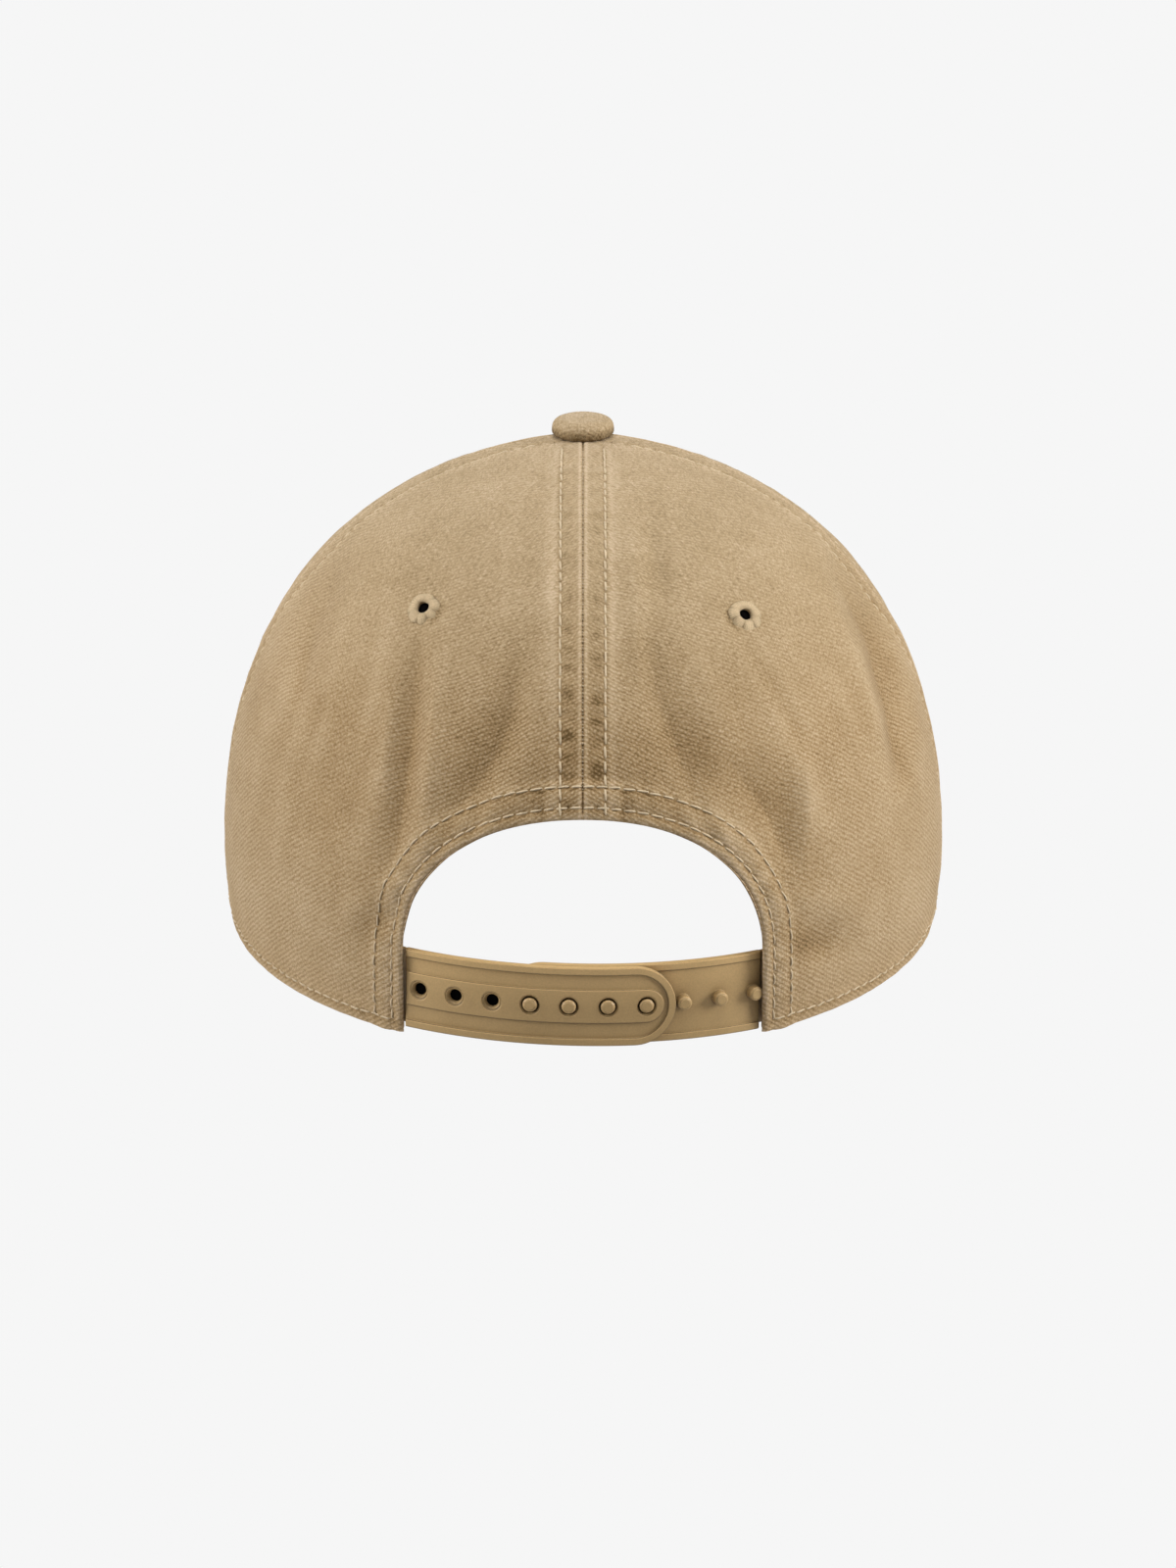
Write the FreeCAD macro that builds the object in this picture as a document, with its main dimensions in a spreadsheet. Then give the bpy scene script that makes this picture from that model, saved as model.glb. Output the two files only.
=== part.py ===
"""Baseball cap: a five-panel cloth crown with a structured front, a curved visor and a snap strap.

Frame: millimetres, +Z up, origin at the middle of the head opening on the plane of the crown's
lower edge. The visor points to -Y, the arched strap opening is at +Y, and +X is the wearer's left.
The crown is a stack of thin layers, each one a distance below one outer surface.
"""

import FreeCAD, Part
import os
import Sketcher
from math import acos, asin, cos, degrees, hypot, pi, radians, sin, sqrt

doc = FreeCAD.newDocument("baseball_cap")
dims = doc.addObject("Spreadsheet::Sheet", "dims")

DIMENSIONS = {
    # Crown surface
    "crown_half_width": 89.2,
    "crown_half_length": 104.4,
    "crown_height": 121.3,
    "band_height": 15.5,
    "band_flare": 0.018,
    "back_roundness": 2.185,
    "back_flattening": 0.048,
    "back_falloff": 1.66,
    "front_roundness": 2.35,
    "front_flattening": 0.44,
    "front_falloff": 0.9,
    "front_turn": 43.5,
    "front_rise": 12.0,
    "apex_share": 0.026,
    # Panels and their seams, as angles from the centre back
    "cloth_thick": 1.0,
    "seam_gap": 0.1,
    "side_seam_angle": 89.0,
    "front_seam_angle": 134.0,
    # Layers inside the crown
    "layer_gap": 0.1,
    "tape_thick": 0.4,
    "tape_half_width": 6.5,
    "buckram_thick": 0.5,
    "buckram_low": 8.0,
    "facing_width": 9.0,
    "sweatband_thick": 1.0,
    "sweatband_low": 1.0,
    "sweatband_tall": 32.0,
    "sweatband_start_x": 54.0,
    # Arched opening at the back
    "arch_half_width": 42.6,
    "arch_straight": 21.5,
    "arch_height": 56.3,
    "arch_roundness": 2.12,
    # Embroidered eyelets
    "eyelet_outer": 4.25,
    "eyelet_hole": 1.5,
    "eyelet_wall": 0.5,
    "eyelet_rise": 0.6,
    "eyelet_back_angle": 38.0,
    "eyelet_side_angle": 112.0,
    "eyelet_climb": 0.515,
    # Button on top
    "button_outer": 7.65,
    "button_low": 120.9,
    "button_top": 125.4,
    "button_cloth": 0.8,
    "button_metal": 0.5,
    "button_round": 2.5,
    "tack_shank": 1.2,
    "tack_flange": 6.0,
    "tack_low": 116.8,
    # Snap strap: radii about the strap's own arc centre
    "strap_half_width": 9.65,
    "strap_centre_y": 15.6,
    "strap_centre_z": 11.3,
    "strap_tilt": 1.0,
    "stud_strap_inner": 82.6,
    "stud_strap_face": 84.0,
    "stud_strap_rim": 84.3,
    "hole_strap_inner": 84.4,
    "hole_strap_face": 85.6,
    "hole_strap_panel": 85.9,
    "hole_strap_rim": 86.1,
    "strap_rim_width": 1.7,
    "strap_panel_half": 4.1,
    "snap_count": 7,
    "snap_pitch": 6.105,
    "first_hole": 26.6,
    "hole_radius": 2.1,
    "hole_sink": 0.35,
    "stud_radius": 1.7,
    "stud_tip": 86.35,
    "tip_reach": 6.9,
    "strap_root_x": 41.0,
    "tab_gap": 0.15,
    "tab_length": 9.0,
    "tab_thick": 1.2,
    "tab_depth_left": 1.6,
    "tab_depth_right": 3.25,
    # Visor
    "visor_half_angle": 62.0,
    "visor_half_width": 83.0,
    "visor_side_y": 55.0,
    "visor_reach": 119.0,
    "visor_squareness": 2.4,
    "visor_slope": 0.12,
    "visor_camber": 24.0,
    "visor_tuck": 0.4,
    "visor_cloth": 0.9,
    "visor_board_thick": 2.0,
    "visor_board_inset": 0.03,
}


def fill_sheet():
    """Write every driving dimension to its own cell, named by an alias."""
    for row, (name, size) in enumerate(DIMENSIONS.items(), start=1):
        dims.set(f"A{row}", name)
        dims.set(f"B{row}", str(size))
        dims.setAlias(f"B{row}", name)
    doc.recompute()


fill_sheet()
SIZE = {name: float(dims.get(name)) for name in DIMENSIONS}
vector = FreeCAD.Vector


# The crown's outer surface


def blend(back, front, share):
    return back + (front - back) * share


def edge_height(angle):
    """Height of the crown's lower edge: flat, but arched up over the visor."""
    from_front = abs(180.0 - angle % 360.0)
    inside = max(0.0, 1.0 - (from_front / SIZE["visor_half_angle"]) ** 2)
    return SIZE["front_rise"] * inside**1.5


def front_share(angle):
    """0 on the back panels, 1 on the front panel, with a soft change over the side panels."""
    from_back = abs((angle + 180.0) % 360.0 - 180.0)
    share = min(max((from_back - SIZE["side_seam_angle"]) / SIZE["front_turn"], 0.0), 1.0)
    return share**2 * (3.0 - 2.0 * share)


def crown_surface(angle, climb):
    """Point at an angle from the centre back; climb is -1 at the edge, 0 on the band, 1 at the apex."""
    if climb <= 0.0:
        share = 1.0 - SIZE["band_flare"] * climb**2
        height = blend(SIZE["band_height"], edge_height(angle), -climb)
    else:
        steep = radians(90.0 * climb)
        share = cos(steep)
        front = front_share(angle)
        roundness = blend(SIZE["back_roundness"], SIZE["front_roundness"], front)
        flattening = blend(SIZE["back_flattening"], SIZE["front_flattening"], front)
        falloff = blend(SIZE["back_falloff"], SIZE["front_falloff"], front)
        dome = sin(steep) ** (2.0 / roundness) - flattening * share * (1.0 - share) ** falloff
        height = SIZE["band_height"] + (SIZE["crown_height"] - SIZE["band_height"]) * dome
    turn = radians(angle)
    return vector(
        SIZE["crown_half_width"] * share * sin(turn),
        SIZE["crown_half_length"] * share * cos(turn),
        height,
    )


def crown_normal(angle, climb):
    """Outward unit normal of the crown's outer surface."""
    turn, rise = 0.05, 0.0005
    across = crown_surface(angle + turn, climb) - crown_surface(angle - turn, climb)
    up = crown_surface(angle, climb + rise) - crown_surface(angle, climb - rise)
    return up.cross(across).normalize()


def crown_layer(angle, climb, depth):
    """Point a depth below the outer surface, measured level along the lower edge so it ends flat."""
    inward = crown_normal(angle, climb) * -1
    if climb <= -1.0:
        inward.z = 0.0
        inward.normalize()
    return crown_surface(angle, climb) + inward * depth


def apex_climb(share):
    """Climb at which the crown has shrunk to a share of its full width."""
    return degrees(acos(share)) / 90.0


def climb_at_height(angle, height):
    """Climb at which the crown reaches a height, found by halving."""
    low, high = -1.0, 1.0
    for _ in range(40):
        middle = (low + high) / 2.0
        if crown_surface(angle, middle).z < height:
            low = middle
        else:
            high = middle
    return (low + high) / 2.0


def angle_at_x(across):
    """Angle on the crown's back whose outer surface is at a distance from the middle plane."""
    return degrees(asin(across / SIZE["crown_half_width"]))


# Solids between two curved skins


def spread(start, end, count):
    return [start + (end - start) * i / (count - 1) for i in range(count)]


def climbs(low, high):
    """Climb values from low to high, closest together where the crown bends most."""
    dome_steps = 22
    below = [c for c in spread(-1.0, 0.0, 5) if low < c < high]
    above = [c for c in spread(0.0, 1.0, dome_steps) if low < c < high and c > 0.0]
    least = 0.4 / dome_steps
    inner = [c for c in below + above if c - low > least and high - c > least]
    return [low] + inner + [high]


def skin(points):
    surface = Part.BSplineSurface()
    surface.interpolate(points)
    return surface


def solid_between(outer_points, inner_points):
    """Closed solid between two grids of points, with ruled faces round its rim."""
    outer, inner = skin(outer_points), skin(inner_points)
    faces = [outer.toShape(), inner.toShape()]
    u_low, u_high, v_low, v_high = outer.bounds()
    u_low2, u_high2, v_low2, v_high2 = inner.bounds()
    rims = [
        (outer.uIso(u_low), inner.uIso(u_low2)),
        (outer.uIso(u_high), inner.uIso(u_high2)),
        (outer.vIso(v_low), inner.vIso(v_low2)),
        (outer.vIso(v_high), inner.vIso(v_high2)),
    ]
    for first, second in rims:
        faces.append(Part.makeRuledSurface(first.toShape(), second.toShape()))
    shell = Part.Shell(faces)
    shell.sewShape()
    solid = Part.Solid(shell)
    if solid.Volume < 0:
        solid.reverse()
    return solid


def crown_patch(columns, climb_list, shallow, deep):
    """Layer of the crown between two depths; columns maps a climb to its list of angles."""
    outer = [[crown_layer(a, c, shallow) for a in columns(c)] for c in climb_list]
    inner = [[crown_layer(a, c, deep) for a in columns(c)] for c in climb_list]
    return solid_between(outer, inner)


def feature(name, shape):
    """A sub-part whose curved shape comes from the crown's formula."""
    part = doc.addObject("Part::Feature", name)
    part.Label = name
    part.Shape = shape
    part.Placement = FreeCAD.Placement()
    return part


def boolean(kind, name, base, tool):
    """Part::Cut, Part::Common or Part::Fuse of two objects."""
    result = doc.addObject(kind, name)
    result.Label = name
    result.Base = base
    result.Tool = tool
    return result


def joined(name, shapes):
    result = doc.addObject("Part::MultiFuse", name)
    result.Shapes = shapes
    return result


# Sketches held by the sheet


def origin_plane(body, role):
    return next(f for f in body.Origin.OriginFeatures if f.Role == role)


def outline_sketch(body, plane, corners):
    """Closed polygon on an origin plane, each corner held by a pair of sheet expressions."""
    sketch = body.newObject("Sketcher::SketchObject", body.Name + "_outline")
    sketch.AttachmentSupport = [(origin_plane(body, plane), "")]
    sketch.MapMode = "FlatFace"
    places = [vector(*[float(dims.evalExpression(part)) for part in corner]) for corner in corners]
    for i, place in enumerate(places):
        sketch.addGeometry(Part.LineSegment(place, places[(i + 1) % len(places)]), False)
    for i, place in enumerate(places):
        sketch.addConstraint(Sketcher.Constraint("Coincident", i, 2, (i + 1) % len(places), 1))
        hold_point(sketch, i, "DistanceX", -2, corners[i][0], place.x)
        hold_point(sketch, i, "DistanceY", -1, corners[i][1], place.y)
    return sketch


def hold_point(sketch, line, kind, axis, expression, distance):
    """Tie a line's start to the sheet, or straight to the axis when its distance is zero."""
    if abs(distance) < 1e-9:
        sketch.addConstraint(Sketcher.Constraint("PointOnObject", line, 1, axis))
        return
    index = sketch.addConstraint(Sketcher.Constraint(kind, -1, 1, line, 1, distance))
    sketch.setExpression(f"Constraints[{index}]", expression)


def turned_body(name, corners, angle="360", backwards=False):
    """Body made by turning an outline in the XZ plane about the Z axis."""
    body = doc.addObject("PartDesign::Body", name)
    body.Label = name
    sketch = outline_sketch(body, "XZ_Plane", corners)
    turn = body.newObject("PartDesign::Revolution", name + "_turn")
    turn.Profile = sketch
    turn.ReferenceAxis = (sketch, ["V_Axis"])
    turn.setExpression("Angle", angle)
    turn.Reversed = backwards
    doc.recompute()
    return body


def rounded(body, chosen, radius):
    """Round the edges of a body that a test picks."""
    base = body.Tip
    names = [f"Edge{i}" for i, edge in enumerate(base.Shape.Edges, start=1) if chosen(edge)]
    fillet = body.newObject("PartDesign::Fillet", body.Name + "_round")
    fillet.Base = (base, names)
    fillet.setExpression("Radius", radius)
    doc.recompute()
    return body


# Crown panels


def plain_panel(name, first, last, low=-1.0):
    """Panel between two seam angles, from a low climb to the apex, just clear of its neighbours."""
    gap = degrees(SIZE["seam_gap"] / 2.0 / SIZE["crown_half_width"])
    count = 2 + round((last - first) / 6.0)
    angles = spread(first + gap, last - gap, count)
    heights = climbs(low, apex_climb(SIZE["apex_share"]))
    return feature(name, crown_patch(lambda climb: angles, heights, 0.0, SIZE["cloth_thick"]))


def eyelet_frame(angle):
    """Placement on the crown with its Z axis along the outward normal."""
    climb = SIZE["eyelet_climb"]
    facing = FreeCAD.Rotation(vector(0, 0, 1), crown_normal(angle, climb))
    return FreeCAD.Placement(crown_surface(angle, climb), facing)


def eyelet_punch(name, angle):
    """Round tool that makes the hole for one eyelet."""
    punch = doc.addObject("Part::Cylinder", name)
    punch.setExpression("Radius", "dims.eyelet_hole + dims.eyelet_wall + dims.layer_gap")
    punch.Height = 12.0
    punch.Placement = eyelet_frame(angle).multiply(FreeCAD.Placement(vector(0, 0, -6), FreeCAD.Rotation()))
    return punch


def arch_wire(grow):
    """Arch of the back opening in the XZ plane, widened by a distance, closed far below the edge."""
    half = SIZE["arch_half_width"] + grow
    rise = SIZE["arch_height"] - SIZE["arch_straight"] + grow
    power = 2.0 / SIZE["arch_roundness"]
    low, spring = -10.0, SIZE["arch_straight"]
    points = []
    for i in range(25):
        turn = pi * i / 24
        side = cos(turn)
        across = half * abs(side) ** power * (1 if side >= 0 else -1)
        points.append(vector(across, 0, spring + rise * max(sin(turn), 0.0) ** power))
    curve = Part.BSplineCurve()
    curve.interpolate(points)
    sides = [points[-1], vector(-half, 0, low), vector(half, 0, low), points[0]]
    lines = [Part.LineSegment(a, b).toShape() for a, b in zip(sides, sides[1:])]
    return Part.Wire([curve.toShape()] + lines)


def arch_prism(grow):
    """The arch's outline pushed backwards through the crown."""
    reach = SIZE["crown_half_length"] + 30.0
    return Part.Face(arch_wire(grow)).extrude(vector(0, reach, 0))


def make_panels():
    """Five cloth panels: two with the arch and a flat lower edge cut, and eyelet holes in four."""
    side, front = SIZE["side_seam_angle"], SIZE["front_seam_angle"]
    arch = feature("arch_tool", arch_prism(0.0))
    wide = 3.0 * SIZE["crown_half_width"]
    floor = doc.addObject("Part::Box", "edge_tool")
    floor.Length, floor.Width, floor.Height = wide, wide, 10.0
    floor.Placement.Base = vector(-wide / 2.0, -wide / 2.0, -10.0)
    below_edge = -1.03
    back = SIZE["eyelet_back_angle"]
    beside = SIZE["eyelet_side_angle"]
    layout = [
        ("back_panel_left", 0.0, side, back, [arch, floor], below_edge),
        ("back_panel_right", -side, 0.0, -back, [arch, floor], below_edge),
        ("side_panel_left", side, front, beside, [], -1.0),
        ("side_panel_right", -front, -side, -beside, [], -1.0),
    ]
    panels = [plain_panel("front_panel", front, 360.0 - front)]
    for name, first, last, eyelet, tools, low in layout:
        cloth = plain_panel(name + "_cloth", first, last, low)
        punch = eyelet_punch(name + "_punch", eyelet)
        tool = joined(name + "_tools", tools + [punch]) if tools else punch
        panels.append(boolean("Part::Cut", name, cloth, tool))
    return panels


# Layers inside the crown


def under_cloth(layers=1):
    """Depth of the first face inside the cloth, or inside one tape."""
    extra = (layers - 1) * (SIZE["tape_thick"] + SIZE["layer_gap"])
    return SIZE["cloth_thick"] + SIZE["layer_gap"] + extra


def make_buckram():
    """Stiffener behind the front panel, clear of the tapes over its seams."""
    margin = degrees((SIZE["tape_half_width"] + 1.0) / SIZE["crown_half_width"])
    first = SIZE["front_seam_angle"]
    top = apex_climb(0.2)

    def columns(climb):
        share = cos(radians(90.0 * max(climb, 0.0)))
        inset = margin / max(share, 0.1)
        return spread(first + inset, 360.0 - first - inset, 19)

    heights = climbs(climb_at_height(180.0, SIZE["buckram_low"] + SIZE["front_rise"]), top)
    depth = under_cloth()
    return feature("front_buckram", crown_patch(columns, heights, depth, depth + SIZE["buckram_thick"]))


def seam_tape(name, angle, low, end_share=0.14):
    """Ribbon of even width that covers one seam on the inside."""

    def columns(climb):
        share = cos(radians(90.0 * max(climb, 0.0)))
        turn = radians(angle)
        girth = hypot(SIZE["crown_half_width"] * cos(turn), SIZE["crown_half_length"] * sin(turn))
        spread_angle = degrees(SIZE["tape_half_width"] / (girth * share))
        return spread(angle - spread_angle, angle + spread_angle, 5)

    heights = climbs(low, apex_climb(end_share))
    depth = under_cloth()
    return feature(name, crown_patch(columns, heights, depth, depth + SIZE["tape_thick"]))


def make_tapes():
    facing_top = SIZE["arch_height"] + SIZE["facing_width"] + 1.0
    side, front = SIZE["side_seam_angle"], SIZE["front_seam_angle"]
    low = climb_at_height(0.0, 2.0)
    clear_of_side = 0.24
    return [
        seam_tape("seam_tape_center_back", 0.0, climb_at_height(0.0, facing_top)),
        seam_tape("seam_tape_side_left", side, low),
        seam_tape("seam_tape_side_right", -side, low),
        seam_tape("seam_tape_front_left", front, low, clear_of_side),
        seam_tape("seam_tape_front_right", -front, low, clear_of_side),
    ]


def make_facing():
    """Folded cloth strip that backs the edge of the arched opening."""
    wide = angle_at_x(SIZE["arch_half_width"] + SIZE["facing_width"] + 6.0)
    heights = climbs(-0.96, climb_at_height(0.0, SIZE["arch_height"] + SIZE["facing_width"] + 6.0))
    depth = under_cloth()
    layer = crown_patch(lambda climb: spread(-wide, wide, 21), heights, depth, depth + SIZE["tape_thick"])
    strip = arch_prism(SIZE["facing_width"]).cut(arch_prism(0.3))
    return feature("opening_facing", layer.common(strip))


def make_sweatband():
    """Band round the inside of the lower edge, from one strap end round the front to the other."""
    first = angle_at_x(SIZE["sweatband_start_x"])
    angles = spread(first, 360.0 - first, 45)
    depth = under_cloth(2) + 2.0 * SIZE["layer_gap"]

    def wall(below):
        rows = []
        for share in spread(0.0, 1.0, 6):
            row = []
            for angle in angles:
                height = edge_height(angle) + SIZE["sweatband_low"] + share * SIZE["sweatband_tall"]
                row.append(crown_layer(angle, climb_at_height(angle, height), below))
            rows.append(row)
        return rows

    return feature("sweatband", solid_between(wall(depth), wall(depth + SIZE["sweatband_thick"])))


# Eyelets and button


def make_eyelets():
    """Thread-bound rings with a barrel through the cloth."""
    bore, barrel = "dims.eyelet_hole", "dims.eyelet_hole + dims.eyelet_wall"
    inside = "-dims.cloth_thick - 1.5 * dims.layer_gap"
    corners = [
        (bore, "dims.eyelet_rise"),
        ("dims.eyelet_outer", "dims.eyelet_rise"),
        ("dims.eyelet_outer", "0.4 * dims.layer_gap"),
        (barrel, "0.4 * dims.layer_gap"),
        (barrel, inside),
        ("dims.eyelet_outer - 0.8", inside),
        ("dims.eyelet_outer - 0.8", inside + " - 0.4"),
        (bore, inside + " - 0.4"),
    ]
    places = {
        "eyelet_back_left": SIZE["eyelet_back_angle"],
        "eyelet_back_right": -SIZE["eyelet_back_angle"],
        "eyelet_side_left": SIZE["eyelet_side_angle"],
        "eyelet_side_right": -SIZE["eyelet_side_angle"],
    }
    rings = []
    for name, angle in places.items():
        ring = turned_body(name, corners)
        top = SIZE["eyelet_rise"]
        rounded(ring, lambda edge: on_circle(edge, SIZE["eyelet_outer"], top), "dims.eyelet_rise * 0.8")
        ring.Placement = eyelet_frame(angle)
        rings.append(ring)
    return rings


def on_circle(edge, radius, height):
    """Whether an edge is the circle of a radius about the Z axis at a height."""
    curve = edge.Curve
    return (
        isinstance(curve, Part.Circle)
        and abs(curve.Radius - radius) < 1e-4
        and abs(curve.Center.z - height) < 1e-4
    )


def cap_shell(name, outer, top, low, thick, roundness):
    """Upside-down cup: a thin round cap, open below."""
    corners = [
        ("0", top),
        (outer, top),
        (outer, low),
        (f"{outer} - {thick}", low),
        (f"{outer} - {thick}", f"{top} - {thick}"),
        ("0", f"{top} - {thick}"),
    ]
    cap = turned_body(name, corners)
    radius, height = float(dims.evalExpression(outer)), float(dims.evalExpression(top))
    wall = float(dims.evalExpression(thick))
    rounded(cap, lambda edge: on_circle(edge, radius, height), roundness)
    rounded(cap, lambda edge: on_circle(edge, radius - wall, height - wall), f"{roundness} - {thick}")
    return cap


def make_button():
    """Cloth-covered cap on a metal cup, held by a tack through the apex."""
    cover = cap_shell(
        "button_cover",
        "dims.button_outer",
        "dims.button_top",
        "dims.button_low",
        "dims.button_cloth",
        "dims.button_round",
    )
    inset = "(dims.button_cloth + dims.layer_gap)"
    core = cap_shell(
        "button_core",
        f"dims.button_outer - {inset}",
        f"dims.button_top - {inset}",
        "dims.button_low + 0.4",
        "dims.button_metal",
        f"dims.button_round - {inset}",
    )
    shank_top = f"dims.button_top - {inset} - dims.button_metal - 2 * dims.layer_gap"
    flange_drop = 2.7
    tack_corners = [
        ("0", shank_top),
        ("dims.tack_shank + 1", shank_top),
        ("dims.tack_shank + 1", f"{shank_top} - 0.8"),
        ("dims.tack_shank", f"{shank_top} - 0.8"),
        ("dims.tack_shank", "dims.tack_low + 2.8"),
        ("dims.tack_flange", f"dims.tack_low + 2.8 - {flange_drop}"),
        ("dims.tack_flange", f"dims.tack_low + 2.2 - {flange_drop}"),
        ("0", "dims.tack_low + 2.2"),
    ]
    tack = turned_body("button_tack", tack_corners)
    return [cover, core, tack]


# Snap strap, drawn about its own arc centre


def strap_angle_at_root(radius):
    """Angle from straight back at which a strap of this radius reaches its bending line."""
    return degrees(asin(SIZE["strap_root_x"] / radius))


def strap_band(name, inner, outer, half, inset, side, tip, root):
    """Curved band with a round tip: side is 1 when it runs from its tip towards -X, -1 towards +X."""
    corners = [(inner, f"-({half})"), (outer, f"-({half})"), (outer, half), (inner, half)]
    band = turned_body(name, corners, f"{abs(root - tip)}", side < 0)
    radius = float(dims.evalExpression(half))
    start = float(dims.evalExpression(inset))
    trim = body_trim(band, radius, start, side)
    trim.Length = 2.0 * SIZE["hole_strap_rim"]
    doc.recompute()
    band.Placement = FreeCAD.Placement(vector(), FreeCAD.Rotation(vector(0, 0, 1), 90.0 - tip))
    return band


def body_trim(band, radius, start, side):
    """Pocket that rounds a band's tip to a half circle, start being the distance to its end."""
    sketch = band.newObject("Sketcher::SketchObject", band.Name + "_tip")
    sketch.AttachmentSupport = [(origin_plane(band, "YZ_Plane"), "")]
    sketch.MapMode = "FlatFace"
    far, tall = -2.0, radius + 2.0
    middle = start + radius
    places = [(middle, radius), (middle, tall), (far, tall), (far, -tall), (middle, -tall), (middle, -radius)]
    points = [vector(side * along, up) for along, up in places]
    for first, second in zip(points, points[1:]):
        sketch.addGeometry(Part.LineSegment(first, second), False)
    sketch.addGeometry(Part.Arc(points[-1], vector(side * start, 0), points[0]), False)
    trim = band.newObject("PartDesign::Pocket", band.Name + "_trim")
    trim.Profile = sketch
    trim.Reversed = True
    return trim


def radial(angle):
    """Placement at the arc centre whose Z axis points outwards at an angle from straight back."""
    outward = vector(sin(radians(angle)), cos(radians(angle)), 0)
    return FreeCAD.Placement(vector(), FreeCAD.Rotation(vector(0, 0, 1), outward))


def snap_angles(first, count):
    return [first - SIZE["snap_pitch"] * i for i in range(count)]


def pegs(name, angles, radius, low, high):
    """Row of round pegs or punches standing on the arc."""
    row = []
    for i, angle in enumerate(angles):
        peg = doc.addObject("Part::Cylinder", f"{name}_{i}")
        peg.setExpression("Radius", radius)
        peg.setExpression("Height", f"({high}) - ({low})")
        bottom = float(dims.evalExpression(low))
        peg.Placement = radial(angle).multiply(FreeCAD.Placement(vector(0, 0, bottom), FreeCAD.Rotation()))
        row.append(peg)
    return row


def cones(name, angles, low_radius, high_radius, low, high):
    """Row of cones on the arc, for countersinks and the bevelled ends of studs."""
    row = []
    for i, angle in enumerate(angles):
        cone = doc.addObject("Part::Cone", f"{name}_{i}")
        cone.setExpression("Radius1", low_radius)
        cone.setExpression("Radius2", high_radius)
        cone.setExpression("Height", f"({high}) - ({low})")
        bottom = float(dims.evalExpression(low))
        cone.Placement = radial(angle).multiply(FreeCAD.Placement(vector(0, 0, bottom), FreeCAD.Rotation()))
        row.append(cone)
    return row


def knuckle(name, inner, outer, sign):
    """Round end of a strap at its bending line."""
    middle = (SIZE[inner] + SIZE[outer]) / 2.0
    angle = sign * strap_angle_at_root(middle)
    post = doc.addObject("Part::Cylinder", name)
    post.setExpression("Radius", f"(dims.{outer} - dims.{inner}) / 2")
    post.setExpression("Height", "2 * dims.strap_half_width")
    along = vector(sin(radians(angle)), cos(radians(angle)), 0) * middle
    post.Placement = FreeCAD.Placement(along - vector(0, 0, SIZE["strap_half_width"]), FreeCAD.Rotation())
    return post


def strap_place():
    tilt = FreeCAD.Rotation(vector(0, 1, 0), -SIZE["strap_tilt"])
    return FreeCAD.Placement(vector(0, SIZE["strap_centre_y"], SIZE["strap_centre_z"]), tilt)


def make_hole_strap():
    """Outer strap with seven holes in a raised track, rimmed all round."""
    count = int(SIZE["snap_count"])
    holes = snap_angles(SIZE["first_hole"], count)
    reach = degrees(SIZE["tip_reach"] / SIZE["hole_strap_face"])
    tip = holes[-1] - reach
    root = strap_angle_at_root((SIZE["hole_strap_inner"] + SIZE["hole_strap_face"]) / 2.0)
    half, rim = "dims.strap_half_width", "dims.strap_rim_width"
    track_start = "dims.tip_reach - dims.strap_panel_half"
    body = strap_band(
        "hole_strap_body", "dims.hole_strap_inner", "dims.hole_strap_rim", half, "0", -1, tip, root
    )
    recess = strap_band(
        "hole_strap_recess",
        "dims.hole_strap_face",
        "dims.hole_strap_rim + 1",
        f"{half} - {rim}",
        rim,
        -1,
        tip,
        root + 2.0,
    )
    track = strap_band(
        "hole_strap_track",
        "dims.hole_strap_face - 0.2",
        "dims.hole_strap_panel",
        "dims.strap_panel_half",
        track_start,
        -1,
        tip,
        root,
    )
    dished = boolean("Part::Cut", "hole_strap_dished", body, recess)
    end = knuckle("hole_strap_knuckle", "hole_strap_inner", "hole_strap_face", 1)
    blank = joined("hole_strap_blank", [dished, track, end])
    low, high = "dims.hole_strap_inner - 1", "dims.hole_strap_rim + 1"
    punches = pegs("hole_punch", holes, "dims.hole_radius", low, high)
    sinks = cones(
        "hole_countersink",
        holes,
        "dims.hole_radius",
        "dims.hole_radius + 2 * dims.hole_sink",
        "dims.hole_strap_panel - dims.hole_sink",
        "dims.hole_strap_panel + dims.hole_sink",
    )
    strap = boolean("Part::Cut", "strap_left", blank, joined("hole_tools", punches + sinks))
    strap.Placement = strap_place()
    return strap


def make_stud_strap():
    """Inner strap with seven studs, four of them standing in the other strap's holes."""
    count = int(SIZE["snap_count"])
    engaged_first = 3
    first = SIZE["first_hole"] - engaged_first * SIZE["snap_pitch"]
    studs = snap_angles(first, count)
    tip = first + degrees(SIZE["tip_reach"] / SIZE["stud_strap_face"])
    root = -strap_angle_at_root((SIZE["stud_strap_inner"] + SIZE["stud_strap_face"]) / 2.0)
    half, rim = "dims.strap_half_width", "dims.strap_rim_width"
    body = strap_band(
        "stud_strap_body", "dims.stud_strap_inner", "dims.stud_strap_rim", half, "0", 1, tip, root
    )
    recess = strap_band(
        "stud_strap_recess",
        "dims.stud_strap_face",
        "dims.stud_strap_rim + 1",
        f"{half} - {rim}",
        rim,
        1,
        tip,
        root - 2.0,
    )
    dished = boolean("Part::Cut", "stud_strap_dished", body, recess)
    end = knuckle("stud_strap_knuckle", "stud_strap_inner", "stud_strap_face", -1)
    bevel = 0.45
    posts = pegs("stud", studs, "dims.stud_radius", "dims.stud_strap_face - 0.5", f"dims.stud_tip - {bevel}")
    ends = cones(
        "stud_end", studs, "dims.stud_radius", f"dims.stud_radius - {bevel}", f"dims.stud_tip - {bevel}", "dims.stud_tip"
    )
    strap = joined("strap_right", [dished, end] + posts + ends)
    strap.Label = "strap_right"
    strap.Placement = strap_place()
    return strap


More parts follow.
